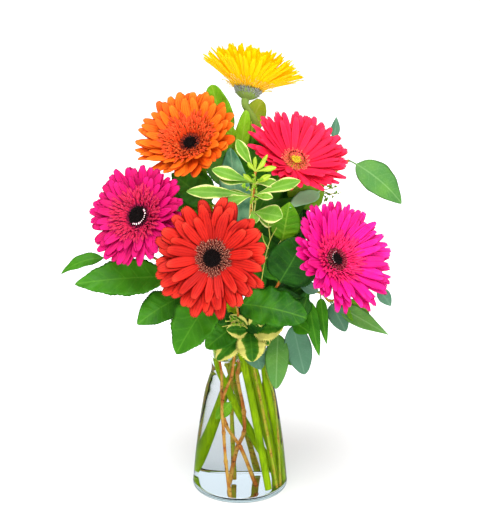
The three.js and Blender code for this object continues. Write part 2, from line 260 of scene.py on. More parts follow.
def petal_finish(name, root, blade, tip, vein, back, glow, share=0.22, shine=0.0):
    material, bench = new_finish(name)
    along, across, tone = bench.mark("along"), bench.mark("across"), bench.mark("tone")
    mottle = bench.noise(380.0, 4.0, 0.6)
    drift = along + (mottle - 0.5) * 0.16
    # The darker root is partly the petal's own colour and partly painted shade where it dives into the head.
    colour = bench.ramp(drift, (0.0, root), (0.3, blade), (0.72, blade), (1.0, tip))
    wander = (mottle - 0.5) * 2.0
    # The veins are the petal's own lines, made darker partly as painted shade in its furrows.
    lines = ((across * PETAL_VEINS + wander).sine() * 0.5 + 0.5) ** 3.0
    colour = bench.mix(lines * (0.85 - along * 0.35), colour, vein)
    streak = bench.noise(160.0, 3.0, 0.6)
    colour = bench.mix(bench.ease(streak, 0.5, 0.75) * 0.35, colour, root)
    # Darker margins are painted shade of rolled petal edges.
    margin = bench.ease(abs(across), 0.72, 1.0)
    colour = bench.mix(margin * 0.45, colour, root)
    colour = bench.mix(bench.ease(tone, 0.3, 1.0) * 0.5, colour, vein)
    colour = bench.mix(bench.mark("underside") * 0.55, colour, back)
    height = lines * 0.6 + mottle * 0.4
    # The emission is a painted glow, in the colour of light from behind.
    light = {"Emission Color": (*glow, 1), "Emission Strength": shine}
    solid = bench.coat(colour, 0.5 + mottle * 0.2, height, (0.55, 0.0003), 0.18, light)
    bench.finish(bench.thin(solid, glow, share))
    return material


# Each row is root, blade, tip, vein, back and the colour of light from behind, which also colours the
# painted glow. Root and vein are darker partly as painted shade.
PETAL_COLOURS = {
    "yellow": [(246, 184, 0), (255, 215, 0, 1.0), (255, 228, 5, 1.0), (250, 202, 0), (255, 217, 0, 1.0),
               (255, 217, 0, 1.0)],
    "orange": [(226, 74, 20), (255, 120, 14), (255, 146, 34), (236, 70, 14), (250, 110, 40), (255, 124, 20)],
    "coral": [(240, 60, 72), (252, 36, 84, 1.0), (255, 62, 108, 1.0), (232, 18, 66), (246, 60, 96),
              (255, 60, 100, 1.0)],
    "magenta": [(160, 4, 58), (234, 8, 118), (250, 28, 140), (170, 2, 66), (220, 26, 118), (244, 16, 124)],
    "red": [(130, 6, 8), (220, 34, 20), (244, 66, 42), (158, 10, 10), (214, 50, 34), (240, 38, 20)],
    "hot_pink": [(220, 10, 84), (255, 18, 160), (255, 52, 178), (226, 8, 104), (240, 40, 140),
                 (255, 24, 156)],
}
# The yellow petals give off a painted glow; share is how much light comes through them.
PETAL_LIGHT = {"yellow": {"share": 0.5, "shine": 0.34}, "coral": {"share": 0.3}}
petal_finishes = {
    name: petal_finish(f"{name}_petals", *shades(*colours), **PETAL_LIGHT.get(name, {}))
    for name, colours in PETAL_COLOURS.items()
}
print(len(petal_finishes), "petal finishes")

# %% [markdown]
# ## Finishes of the disc
# The disc of a gerbera is hundreds of tiny tubes. From the middle out they are closed buds, then open
# tubes with curled, paler lips. One finish runs from a foot colour to a lip colour along each tube. The
# dark foot is partly the disc's own colour and partly painted shade in the gaps between florets, and on
# some kinds a paler rim down the sides is a painted highlight.


# %% Floret finish
def floret_finish(name, foot, body, lip, lip_starts=0.62, rim=0.0):
    material, bench = new_finish(name)
    along, tone = bench.mark("along"), bench.mark("tone")
    lip_full = min(1.0, lip_starts + 0.2)
    # The dark foot is partly painted shade in the gaps between florets.
    colour = bench.ramp(along, (0.0, foot), (0.35, body), (lip_starts, body), (lip_full, lip))
    colour = bench.mix(bench.ease(tone, 0.35, 1.0) * 0.5, colour, body)
    # A paler rim along the sides is a painted highlight in the lip colour.
    edge = bench.ease(abs(bench.mark("across")), 0.45, 0.95) * bench.ease(along, 0.25, 0.6)
    colour = bench.mix(edge * rim, colour, lip)
    grain = bench.noise(900.0, 2.0)
    bench.finish(bench.coat(colour, 0.45 + grain * 0.25, grain, (0.4, 0.0002), 0.2))
    return material


# Each row is foot (partly painted shade), body and lip, then where the lip starts and how far the lip
# colour runs down the rim as a painted highlight.
FLORET_COLOURS = {
    "dark_buds": ((4, 3, 3), (10, 6, 7), (36, 18, 16), 0.75),
    "green_buds": ((150, 124, 10), (206, 180, 30), (226, 206, 60)),
    "yellow_buds": ((200, 130, 0), (246, 190, 10), (255, 216, 30)),
    "brown_curls": ((28, 4, 6), (84, 18, 18), (244, 160, 130), 0.74, 0.3),
    "rust_curls": ((40, 6, 8), (104, 22, 16), (206, 74, 40)),
    "orange_curls": ((84, 8, 6), (222, 60, 14), (255, 146, 72), 0.94, 0.55),
    "straw_curls": ((236, 180, 10), (250, 206, 30), (255, 238, 140), 0.7, 0.6),
    "peach_curls": ((214, 40, 56), (250, 84, 84), (255, 170, 128), 0.8, 0.4),
    "wine_curls": ((40, 2, 12), (104, 4, 40), (186, 24, 90)),
    "crimson_straps": ((50, 0, 14), (196, 14, 64), (255, 84, 140), 0.94, 0.6),
    "ruby_curls": ((50, 2, 14), (140, 8, 44), (255, 150, 160), 0.8),
    "ruby_straps": ((150, 4, 44), (238, 24, 96), (255, 60, 150), 0.94, 0.5),
    "pale_tips": ((200, 60, 110), (240, 170, 190), (255, 246, 240), 0.4),
}
floret_finishes = {
    name: floret_finish(name, *shades(*row[:3]), *row[3:]) for name, row in FLORET_COLOURS.items()
}
print(len(floret_finishes), "floret finishes")

# %% [markdown]
# ## Green finishes
# Stems are soft and faintly ribbed with fine hairs, and downy near the heads. A leaf has a pale rib, side
# veins that sweep forward, blotches of a lighter green, and a waxy top. The leaves here differ in how blue
# they are and in whether they have a cream margin, so one finish takes those as its values.

# %% Stem and cup finishes
DOWN_FROM, DOWN_FULL = 0.30, 0.40


def stem_finish(name, low, high, dark, downy):
    material, bench = new_finish(name)
    blotch, ribs = bench.noise(26.0, 3.0), bench.noise(900.0, 2.0, 0.6, (1, 1, 0.05))
    height = bench.node("ShaderNodeSeparateXYZ", None, {0: bench.place()}, out="Z")
    colour = bench.mix(bench.ease(blotch, 0.35, 0.65), low, high)
    colour = bench.mix(bench.ease(ribs, 0.45, 0.7) * 0.5, colour, dark)
    colour = bench.mix(bench.ease(height, DOWN_FROM, DOWN_FULL) * 0.7, colour, downy)
    bench.finish(bench.coat(colour, 0.5 + blotch * 0.2, ribs, (0.5, 0.0004), 0.06))
    return material


def cup_finish(name, foot, middle, tip, silver):
    material, bench = new_finish(name)
    along, across = bench.mark("along"), bench.mark("across")
    grain = bench.noise(700.0, 3.0)
    colour = bench.ramp(along + grain * 0.1, (0.0, foot), (0.55, middle), (1.0, tip))
    colour = bench.mix(bench.ease(abs(across), 0.5, 0.9) * 0.8, colour, silver)
    bench.finish(bench.coat(colour, 0.55 + grain * 0.2, grain, (0.5, 0.0003), more={"Sheen Weight": 0.1}))
    return material


green_stem = stem_finish("green_stem", *shades((112, 146, 2), (150, 182, 10), (76, 108, 2), (128, 150, 84)))
green_cup = cup_finish("green_cup", *shades((72, 92, 52), (58, 68, 50), (60, 52, 54), (206, 212, 204)))
print("stem and cup finishes")


# %% Leaf finish
def leaf_finish(name, deep, fresh, rib, back, glow, veins, gloss, cream=None, vein_share=0.1, light=0.2,
                ribbed=0.35):
    """veins is how many side veins a half has, and vein_share and ribbed are how pale veins and rib are.
    cream is a margin: (its colour, where it starts, the colour just inside it)."""
    material, bench = new_finish(name)
    along, across, tone = bench.mark("along"), bench.mark("across"), bench.mark("tone")
    width = bench.mark("halfwidth")
    blotch, fine = bench.noise(60.0, 3.0), bench.noise(700.0, 3.0, 0.6)
    colour = bench.mix(bench.ease(blotch, 0.35, 0.68) * 0.6, deep, fresh)
    colour = bench.mix(tone, colour, fresh)
    side = abs(across)
    sweep = (along * veins - side * veins * 0.16 + (blotch - 0.5) * 0.5).fraction()
    ridge = 1 - bench.ease(abs(sweep - 0.5), 0.01, 0.09)
    side_veins = ridge * bench.ease(1 - side, 0.04, 0.5) * vein_share
    net = bench.ease(fine, 0.52, 0.66) * 0.16
    colour = bench.mix(side_veins + net, colour, rib)
    middle = 1 - bench.ease(side * width, 0.35, 0.95)
    if cream:
        pale, start, inside = cream
        ragged = side + (blotch - 0.5) * 0.9 + (fine - 0.5) * 0.25
        edge = bench.ease(ragged, start - 0.04, start + 0.04)
        colour = bench.mix(bench.ease(ragged, start - 0.3, start) * 0.5, colour, inside)
        colour = bench.mix(edge, colour, pale)
    colour = bench.mix(middle * ribbed, colour, rib)
    colour = bench.mix(bench.mark("underside") * 0.6, colour, back)
    height = (1 - ridge) * 0.45 + blotch * 0.5 + fine * 0.12 - middle * 0.3
    solid = bench.coat(colour, gloss + fine * 0.2, height, (0.5, 0.0006), 0.22)
    bench.finish(bench.thin(solid, glow, light))
    return material


# Each row is deep, fresh, rib, back and the colour of light from behind, then side veins and roughness.
LEAF_COLOURS = {
    "salal": ((26, 92, 6), (72, 148, 14), (104, 172, 44), (96, 150, 60), (90, 170, 10), 7.0, 0.4),
    "dark": ((16, 70, 6), (40, 108, 12), (80, 146, 40), (70, 120, 50), (50, 120, 10), 6.0, 0.44),
    "pittosporum": ((66, 124, 20), (116, 170, 44), (150, 192, 84), (130, 174, 84), (140, 190, 40), 6.0, 0.4),
    "eucalyptus": ((60, 116, 80), (104, 150, 122), (134, 178, 144), (126, 160, 140), (100, 160, 100), 9.0,
                   0.5),
    "variegated": ((24, 92, 14), (70, 140, 22), (96, 160, 40), (120, 166, 84), (130, 184, 40), 6.0, 0.42),
    "moss": ((74, 132, 62), (104, 160, 62), (150, 196, 120), (120, 166, 110), (110, 170, 60), 8.0, 0.46),
    # The silver leaf is eucalyptus made paler: partly its own grey-green and partly painted light for leaves
    # in shade.
    "silver": ((74, 138, 100), (170, 232, 176), (180, 230, 180), (140, 206, 150), (110, 180, 110), 9.0, 0.5),
    "gold": ((140, 184, 26), (196, 218, 60), (222, 232, 116), (176, 206, 84), (190, 224, 40), 5.0, 0.42),
    "lime": ((80, 146, 6), (136, 190, 22), (160, 200, 60), (140, 188, 50), (150, 206, 20), 6.0, 0.42),
}
LEAF_EXTRAS = {
    "salal": {"vein_share": 0.16, "ribbed": 0.4},
    "dark": {"vein_share": 0.14, "light": 0.12, "ribbed": 0.45},
    "pittosporum": {"cream": (shade(236, 238, 150), 0.84, shade(150, 194, 70)), "vein_share": 0.2},
    "eucalyptus": {"light": 0.3},
    "variegated": {"cream": (shade(238, 230, 120), 0.54, shade(116, 170, 40)), "vein_share": 0.25,
                   "ribbed": 0.4},
    "gold": {"ribbed": 0.3},
    "lime": {"vein_share": 0.25, "ribbed": 0.5},
}
leaf_finishes = {
    name: leaf_finish(f"{name}_leaf", *shades(*row[:5]), *row[5:], **LEAF_EXTRAS.get(name, {}))
    for name, row in LEAF_COLOURS.items()
}
print(len(leaf_finishes), "leaf finishes")


# %% Bark finish
def bark_finish(name, young, old, scar):
    material, bench = new_finish(name)
    along, patch, speck = bench.mark("along"), bench.noise(70.0, 4.0), bench.noise(420.0, 2.0)
    grain = bench.noise(800.0, 3.0, 0.6, (1, 1, 0.12))
    colour = bench.mix(bench.ease(patch, 0.4, 0.62), young, old)
    colour = bench.mix(bench.ease(grain, 0.5, 0.72) * 0.5, colour, scar)
    colour = bench.mix(bench.ease(speck, 0.6, 0.68) * 0.8, colour, scar)
    rings = 1 - bench.ease(abs((along + patch * 0.6).fraction() - 0.5), 0.02, 0.07)
    colour = bench.mix(rings * bench.ease(patch, 0.45, 0.6) * 0.6, colour, scar)
    bench.finish(bench.coat(colour, 0.5 + grain * 0.25, grain + patch, (0.7, 0.0004), 0.1))
    return material


tan_bark = bark_finish("tan_bark", *shades((196, 150, 66), (178, 100, 38), (52, 26, 12)))
green_bark = bark_finish("green_bark", *shades((150, 168, 40), (180, 146, 50), (110, 84, 24)))
young_bark = bark_finish("young_bark", *shades((206, 206, 110), (176, 186, 80), (150, 140, 60)))
print("three bark finishes")

# %% [markdown]
# ## Glass and water
# Real glass bends what is behind it, so the stems break at the water line and swell in the round body.
# The vase is one closed wall of glass, and the water is its own closed body that reaches a hair into that
# wall, so no film of air lies between them. Lamps would cast a black shadow through such a shell, because
# bent light can't be aimed at a lamp. The usual cure is to let shadow rays pass straight through. The
# faint mirror image that glass shows head on is cut off, because so many walls lie behind each other.

# %% Glass and water finishes
FAINT_MIRROR = 0.045
GLASS_BENDS, WATER_BENDS = 1.5, 1.333


def clear_finish(name, bend, tint, absorb, density):
    material, bench = new_finish(name)
    through = bench.node("ShaderNodeBsdfRefraction", None, {"Color": tint, "Roughness": 0.0, "IOR": bend})
    mirror = bench.node("ShaderNodeBsdfGlossy", None, {"Color": (1.0, 1.0, 1.0), "Roughness": 0.0})
    bounced = bench.node("ShaderNodeFresnel", None, {"IOR": bend})
    body = bench.blend(bench.ease(bounced, FAINT_MIRROR, 1.0), through, mirror)
    open_way = bench.node("ShaderNodeBsdfTransparent", None, {"Color": tint})
    rays = bench.node("ShaderNodeLightPath", out="Is Shadow Ray")
    soft = bench.maths("MAXIMUM", rays, rays.other("Is Diffuse Ray"))
    volume = bench.node("ShaderNodeVolumeAbsorption", None, {"Color": absorb, "Density": density})
    bench.finish(bench.blend(soft, body, open_way), Volume=volume)
    return material


vase_glass = clear_finish("vase_glass", GLASS_BENDS, (0.968, 0.98, 0.99), (0.42, 0.68, 0.72), 9.0)
vase_water = clear_finish("vase_water", WATER_BENDS, (1.0, 1.0, 1.0), (0.74, 0.87, 0.96), 3.0)
print("glass and water")

# %% [markdown]
# ## Meshes from arrays
# A petal, a leaf, a scale of the cup and a floret are all one thing: a thin blade with two faces that
# share their rim. So one function makes them from a curved middle sheet and a thickness, closed and with
# its faces outwards. Each vertex keeps how far along and across it is, which the finishes read. A second
# function turns a profile about the upright axis, for the glass and the water.

# %% Blades and turned bodies
THINNEST = 0.02


def unit(vectors):
    length = np.linalg.norm(vectors, axis=-1, keepdims=True)
    return vectors / np.maximum(length, 1e-12)


def blade(sheet, thickness, steps, across, marks=None, finish=0):
    """sheet(t, s) gives the middle of the blade and thickness(t, s) half its thickness, in millimetres."""
    t, s = np.meshgrid(np.linspace(0, 1, steps + 1), np.linspace(-1, 1, across + 1), indexing="ij")
    middle = sheet(t, s)
    normal = unit(np.cross(np.gradient(middle, axis=0), np.gradient(middle, axis=1)))
    inner = np.zeros(t.shape, bool)
    inner[1:-1, 1:-1] = True
    lift = (np.maximum(thickness(t, s), THINNEST) * inner)[..., None] * normal
    top = np.arange(t.size).reshape(t.shape)
    under = top.copy()
    under[inner] = t.size + np.arange(inner.sum())
    faces = []
    for grid, forward in ((top, True), (under, False)):
        a, b, c, d = grid[:-1, :-1], grid[1:, :-1], grid[1:, 1:], grid[:-1, 1:]
        ring = (a, b, c, d) if forward else (d, c, b, a)
        faces.append(np.stack(ring, axis=-1).reshape(-1, 4))
    points = np.concatenate([(middle + lift).reshape(-1, 3), (middle - lift)[inner]])
    made = {}
    for name, value in {"along": t, "across": s, **(marks or {})}.items():
        value = np.broadcast_to(value, t.shape)
        made[name] = np.concatenate([value.reshape(-1), value[inner]])
    made["underside"] = np.concatenate([np.zeros(t.size), np.ones(inner.sum())])
    return {"points": points, "faces": np.concatenate(faces), "marks": made, "finish": finish}


def turned(profile, sides, finish=0):
    """A closed body from (radius, height) points, whose first and last point lie on the axis."""
    ring = np.array(profile[1:-1])
    turn = np.arange(sides) * 2 * np.pi / sides
    points = [[0, 0, profile[0][1]]]
    for radius, height in ring:
        points += [[radius * np.cos(a), radius * np.sin(a), height] for a in turn]
    points.append([0, 0, profile[-1][1]])
    faces = []
    for i in range(sides):
        j = (i + 1) % sides
        faces.append([0, 1 + j, 1 + i, 1 + i])
        for k in range(len(ring) - 1):
            low, high = 1 + k * sides, 1 + (k + 1) * sides
            faces.append([low + i, low + j, high + j, high + i])
        last = 1 + (len(ring) - 1) * sides
        faces.append([last + i, last + j, len(points) - 1, len(points) - 1])
    return {"points": np.array(points), "faces": np.array(faces), "marks": {}, "finish": finish}


def smooth(mesh):
    mesh.polygons.foreach_set("use_smooth", [True] * len(mesh.polygons))
    return mesh


def to_mesh(parts, finishes=()):
    """One mesh in metres from parts in millimetres."""
    points = np.concatenate([p["points"] for p in parts]) * MM
    faces, slots, start = [], [], 0
    for part in parts:
        faces += [list(dict.fromkeys(f)) for f in (part["faces"] + start).tolist()]
        slots += [part["finish"]] * len(part["faces"])
        start += len(part["points"])
    mesh = bpy.data.meshes.new("parts")
    mesh.from_pydata(points.tolist(), [], faces)
    for mark in parts[0]["marks"]:
        values = np.concatenate([p["marks"][mark] for p in parts]).astype(np.float32)
        mesh.attributes.new(mark, "FLOAT", "POINT").data.foreach_set("value", values)
    mesh.polygons.foreach_set("material_index", slots)
    for finish in finishes:
        mesh.materials.append(finish)
    mesh.update()
    return smooth(mesh)


def place_piece(name, mesh, slot, replaced=()):
    """The finished piece: it rides on the one body, and the CAD nodes that it stands for are hidden."""
    piece = bpy.data.objects.new(name, mesh)
    mesh.name = name
    scene.collection.objects.link(piece)
    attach(piece, "root")
    if replaced:
        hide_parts(*replaced)
    triangles = sum(len(p.vertices) - 2 for p in mesh.polygons)
    print(f"{name}: {triangles} triangles")


print("blades and turned bodies are ready")

# %% [markdown]
# ## The vase and its water
# The vase is blown glass: a round foot, a body that narrows to a waist and a mouth that opens again. A
# lathe makes it from half its section. The CAD vase has 36 flat sides, which is enough to collide with
# but would show in glass, so a turned body with 144 sides and the same profile replaces it. The water
# follows the inside of the wall up to just under the mouth, and creeps up a little where it meets glass.

# %% Vase section
WALL, FLOOR = 2.8, 4.5
OUTER_CORNER, INNER_CORNER = 5.0, 3.5
VASE_OUTLINE = [(5, 47.3), (48, 43), (97, 35.7), (113, 31.6), (127.5, 28.1), (148.6, 30.8), (163, 35.5)]
VASE_HEIGHT = VASE_OUTLINE[-1][0]
VASE_SIDES = 144
OUTLINE_STEPS, CORNER_STEPS, RIM_STEPS = 10, 6, 8


def smooth_outline(points):
    """(radius, height) points on a Catmull-Rom curve through (height, radius) points."""
    known = np.array([(r, h) for h, r in points], float)
    known = np.vstack([known[0], known, known[-1]])
    made = []
    for i in range(1, len(known) - 2):
        p0, p1, p2, p3 = known[i - 1 : i + 3]
        for t in np.arange(OUTLINE_STEPS) / OUTLINE_STEPS:
            bend = (2 * p0 - 5 * p1 + 4 * p2 - p3) * t + (3 * p1 - p0 - 3 * p2 + p3) * t * t
            made.append(0.5 * (2 * p1 + (p2 - p0) * t + bend * t))
    made.append(known[-2])
    return [tuple(p) for p in made]


def corner(radius, height, round_off, start, stop, steps=CORNER_STEPS):
    angles = np.radians(np.linspace(start, stop, steps + 1))
    return [(radius + round_off * math.cos(a), height + round_off * math.sin(a)) for a in angles]


outside = smooth_outline(VASE_OUTLINE)
foot_radius = outside[0][0]
inner_foot = foot_radius - WALL - INNER_CORNER
inner_start = FLOOR + INNER_CORNER
inside = [(r - WALL, h) for r, h in outside if h > inner_start]
vase_section = [
    (0, 0),
    *corner(foot_radius - OUTER_CORNER, OUTER_CORNER, OUTER_CORNER, -90, 0),
    *outside[1:-1],
    *corner(outside[-1][0] - WALL / 2, VASE_HEIGHT, WALL / 2, 0, 180, RIM_STEPS),
    *inside[-2::-1],
    *corner(inner_foot, inner_start, INNER_CORNER, 0, -90),
    (0, FLOOR),
]
vase = to_mesh([turned(vase_section, VASE_SIDES)], [vase_glass])
place_piece("clear_vase", vase, "glass", ["vase"])

# %% Water
WATER_LEVEL, INTO_GLASS, CREEP = 142.0, 0.15, 1.2

wet = [(r + INTO_GLASS, h) for r, h in inside if h < WATER_LEVEL]
edge_radius = wet[-1][0]
water_section = [
    (0, FLOOR - INTO_GLASS),
    *corner(inner_foot + INTO_GLASS, inner_start, INNER_CORNER, -90, 0),
    *wet,
    (edge_radius, WATER_LEVEL + CREEP),
    (edge_radius - 0.6, WATER_LEVEL + 0.5 * CREEP),
    (edge_radius - 1.8, WATER_LEVEL + 0.1 * CREEP),
    (0, WATER_LEVEL),
]
water = to_mesh([turned(water_section, VASE_SIDES)], [vase_water])
place_piece("vase_water", water, "glass")

# %% [markdown]
# ## What grows: one tree for petals, florets and scales
# Ray petals, trans florets, disc florets and the scales of the cup are the same plan with other numbers:
# copies set round an axis, turned by a fixed step, each leaning out by some angle. A golden-angle step
# packs a disc as the plant does, and a step of one whole turn over the count makes a whorl. So one
# Geometry Nodes tree is built, with a named input for each size, and a head uses it several times. Some
# inputs come in pairs, for the innermost and the outermost copy, and some say how far a copy may wander.

# %% The tree that sets copies round an axis
PAIRED = ("Radius", "Height", "Raise", "Size")
WANDERING = ("Turn", "Raise", "Roll", "Size")
# Twelve divides evenly among one, three and four kinds, and a pick past the last kind starts over.
PICKS = 12

GROWTH_INPUTS = {"Kinds": "Collection", "Material": "Material", "Count": "Int", "Seed": "Int"}
GROWTH_INPUTS |= {"Turn Start": "Float", "Turn Step": "Float"}
GROWTH_INPUTS |= {f"{what} Spread": "Float" for what in WANDERING}
GROWTH_INPUTS |= {f"{end} {what}": "Float" for what in PAIRED for end in ("Inner", "Outer")}


def new_tree(name, inputs):
    """The bench of a new Geometry Nodes tree with these named inputs."""
    tree = bpy.data.node_groups.new(name, "GeometryNodeTree")
    for title, kind in inputs.items():
        tree.interface.new_socket(title, in_out="INPUT", socket_type="NodeSocket" + kind)
    tree.interface.new_socket("Geometry", in_out="OUTPUT", socket_type="NodeSocketGeometry")
    return Bench(tree)


def close_tree(bench, geometry, material):
    """The end of a tree: copies are made real, because the export drops instances."""
    real = bench.node("GeometryNodeRealizeInstances", None, {"Geometry": geometry})
    coloured = bench.node("GeometryNodeSetMaterial", None, {"Geometry": real, "Material": material})
    bench.node("NodeGroupOutput", None, {"Geometry": coloured})
    return bench.tree


def new_growth_tree():
    bench = new_tree("copies round an axis", GROWTH_INPUTS)
    given = bench.node("NodeGroupInput").other
    index = bench.node("GeometryNodeInputIndex")
    place = (index + 0.5) / given("Count")

    def spread(width, salt):
        """A random number from minus to plus this width, of its own for each copy."""
        sockets = {"Min": -1.0, "Max": 1.0, "ID": index, "Seed": given("Seed") + salt}
        return bench.node("FunctionNodeRandomValue", {"data_type": "FLOAT"}, sockets) * width

    def between(what):
        inner, outer = given(f"Inner {what}"), given(f"Outer {what}")
        return inner + (outer - inner) * place

    inner, outer = given("Inner Radius"), given("Outer Radius")
    radius = (inner * inner + (outer * outer - inner * inner) * place) ** 0.5
    turn = given("Turn Start") + index * given("Turn Step") + spread(given("Turn Spread"), 1)
    lean = between("Raise") + spread(given("Raise Spread"), 2)
    size = between("Size") * (1 + spread(given("Size Spread"), 3))
    spot = {"X": bench.maths("COSINE", turn) * radius, "Y": turn.sine() * radius, "Z": between("Height")}
    spot = bench.node("ShaderNodeCombineXYZ", None, spot)
    stance = {"X": spread(given("Roll Spread"), 4), "Y": 0 - lean, "Z": turn}
    stance = bench.node("ShaderNodeCombineXYZ", None, stance)
    points = bench.node("GeometryNodePoints", None, {"Count": given("Count")})
    points = bench.node("GeometryNodeSetPosition", None, {"Geometry": points, "Position": spot})
    kinds = {"Collection": given("Kinds"), "Separate Children": True, "Reset Children": True}
    kinds = bench.node("GeometryNodeCollectionInfo", None, kinds)
    chosen = {"Min": 0, "Max": PICKS - 1, "ID": index, "Seed": given("Seed")}
    chosen = bench.node("FunctionNodeRandomValue", {"data_type": "INT"}, chosen)
    copies = {"Points": points, "Instance": kinds, "Pick Instance": True, "Instance Index": chosen}
    copies |= {"Rotation": stance, "Scale": size}
    copies = bench.node("GeometryNodeInstanceOnPoints", None, copies)
    tone = {"Geometry": copies, "Name": "tone", "Value": spread(0.5, 5) + 0.5}
    copies = bench.node("GeometryNodeStoreNamedAttribute", {"data_type": "FLOAT", "domain": "INSTANCE"}, tone)
    return close_tree(bench, copies, given("Material"))


growth_tree = new_growth_tree()
print("the growing tree has", len(growth_tree.nodes), "nodes")


# %% Running a tree
def run_tree(tree, inputs=None, mesh=None):
    """The plain mesh that a Geometry Nodes tree makes, with its modifier gone."""
    carrier = bpy.data.objects.new("carrier", mesh or bpy.data.meshes.new("carrier"))
    modifier = carrier.modifiers.new("grow", "NODES")
    modifier.node_group = tree
    for item in tree.interface.items_tree:
        if item.in_out == "INPUT" and item.name in (inputs or {}):
            modifier[item.identifier] = inputs[item.name]
    scene.collection.objects.link(carrier)
    evaluated = carrier.evaluated_get(bpy.context.evaluated_depsgraph_get())
    made = bpy.data.meshes.new_from_object(evaluated)
    bpy.data.objects.remove(carrier)
    return made


def grow(name, growths, stand):
    """One mesh from several uses of the growing tree, each a dict of its inputs, moved to its stand."""
    bench = new_tree(name, {"Geometry": "Geometry"})
    join = bench.tree.nodes.new("GeometryNodeJoinGeometry")
    for growth in growths:
        whorl = bench.node("GeometryNodeGroup", {"node_tree": growth_tree}, growth)
        bench.tree.links.new(whorl.socket, join.inputs[0])
    bench.node("NodeGroupOutput", None, {0: Wire(bench, join.outputs[0])})
    mesh = run_tree(bench.tree)
    mesh.transform(stand)
    return smooth(mesh)


def kinds_of(name, meshes):
    """A collection of shapes for the tree to pick from. Nothing in it is ever shown."""
    shelf = bpy.data.collections.new(name)
    for k, mesh in enumerate(meshes):
        shelf.objects.link(bpy.data.objects.new(f"{name}_{k}", mesh))
    return shelf


print("trees can be run and joined")

# %% [markdown]
# ## Shapes to copy
# Ray petals differ: one leans, one twists, one has a deeper notch. Four kinds for each colour are enough
# for the eye not to find the repeat. A petal starts as a narrow claw, widens past its middle and ends
# round with two small notches. Two furrows run along it. The tiny florets are the same blade with a few
# faces, because there are hundreds of them.

# %% Ray petals
PETAL_KINDS, PETAL_THICK = 4, 0.26


def petal_sheet(length, width, look, point):
    """look holds one petal's own bend, twist, droop, cup, notch and furrow. point is 1 for a narrow tip."""

    def sheet(t, s):
        u = 1 - (1 - t) ** 1.25
        half = width / 2 * (0.36 + 0.64 * np.sin(np.minimum(u / 0.6, 1.0) * np.pi / 2) ** 1.2)
        past = np.clip((u - 0.5) / 0.5, 0, 1)
        half = half * (1 - (0.6 + 0.14 * point) * past ** (3.4 - 1.5 * point))
        teeth = look["notch"] * (0.5 + 0.5 * np.cos(3 * np.pi * s + look["phase"])) * (1 - np.abs(s) ** 3)
        reach = length * (u - past**4 * (0.03 * s**2 + teeth))
        furrow = look["furrow"] * np.cos(3 * np.pi * s) * np.sin(np.pi * np.clip(t * 1.06, 0, 1)) ** 0.7
        cup = look["cup"] * width * (s**2 - 0.3) * (1 - 0.5 * t)
        droop = look["droop"] * length * t**2.6
        twist = look["twist"] * t**1.5
        side, lift = s * half, furrow + cup
        y = side * np.cos(twist) - lift * np.sin(twist) + look["bend"] * length * t**2
        z = side * np.sin(twist) + lift * np.cos(twist) - droop
        z = z + look["ripple"] * np.sin(7 * t + look["phase"] * 3) * s**2 * t
        return np.stack([reach, y, z], axis=-1)

    return sheet


def petal_kinds(name, length, width, seed, point=0.0, droop=0.06, cup=0.04, furrow=0.5, wild=1.0,
                notch=0.03, grid=(14, 8)):
    """Petals that differ by chance: wild says how much they may, and grid is (steps along, steps across)."""
    draw = np.random.default_rng(seed)
    meshes = []
    for _ in range(PETAL_KINDS):
        look = {
            "bend": draw.uniform(-0.06, 0.06) * wild,
            "twist": draw.uniform(-0.25, 0.25) * wild,
            "droop": droop + draw.uniform(-0.05, 0.05) * wild,
            "cup": cup + draw.uniform(-0.07, 0.07) * wild,
            "notch": notch * draw.uniform(0.5, 1.5),
            "furrow": furrow * draw.uniform(0.8, 1.2),
            "phase": draw.uniform(-0.8, 0.8),
            "ripple": draw.uniform(0.2, 0.7) * wild,
        }
        thickness = lambda t, s: PETAL_THICK * (1 - s**2) ** 0.5 * (1 - 0.4 * t)
        meshes.append(to_mesh([blade(petal_sheet(length, width, look, point), thickness, *grid)]))
    return kinds_of(name, meshes)


# %% Florets, buds and scales
CURL_KINDS, SCALE_THICK = 3, 0.35


def curl_kinds(name, length, width, curl, seed):
    """Small tubes and straps that bend outwards by curl, in radians."""
    draw = np.random.default_rng(seed)
    meshes = []
    for _ in range(CURL_KINDS):
        bend, sway = curl * draw.uniform(0.6, 1.3), draw.uniform(-0.25, 0.25)

        def sheet(t, s, bend=bend, sway=sway):
            angle = bend * t**1.6
            half = width / 2 * (0.7 + 0.5 * t - 0.75 * t**4)
            x = length * t * np.cos(angle * 0.6)
            z = -length * t * np.sin(angle * 0.6)
            return np.stack([x, s * half + sway * length * t**2, z + 0.25 * width * s**2], axis=-1)

        thickness = lambda t, s: width * 0.28 * (1 - s**2) ** 0.5
        meshes.append(to_mesh([blade(sheet, thickness, 5, 2)]))
    return kinds_of(name, meshes)


def bud_kinds(name, length, width):
    """Closed buds: short fat spindles along +X."""
    half = lambda t: width / 2 * np.sin(np.pi * (0.12 + 0.86 * t)) ** 0.8
    sheet = lambda t, s: np.stack([length * t, s * half(t), 0 * t], axis=-1)
    return kinds_of(name, [to_mesh([blade(sheet, lambda t, s: half(t), 4, 4)])])


def scale_kinds(name, length, width):
    """The lance-shaped green scales that lap round the cup."""

    def sheet(t, s):
        half = width / 2 * np.sin(np.pi * (0.2 + 0.78 * t)) ** 0.7
        return np.stack([length * t, s * half, -0.22 * length * t**2 - 0.25 * width * s**2], axis=-1)

    thickness = lambda t, s: SCALE_THICK * (1 - s**2) ** 0.5
    return kinds_of(name, [to_mesh([blade(sheet, thickness, 6, 4)])])


buds = bud_kinds("buds", length=3.2, width=1.5)
fine_curls = curl_kinds("fine_curls", length=4.6, width=0.72, curl=1.3, seed=3)
long_curls = curl_kinds("long_curls", length=6.6, width=0.8, curl=1.2, seed=4)
cup_scales = scale_kinds("cup_scales", length=8.6, width=1.9)
print("buds, curls and scales are cut")

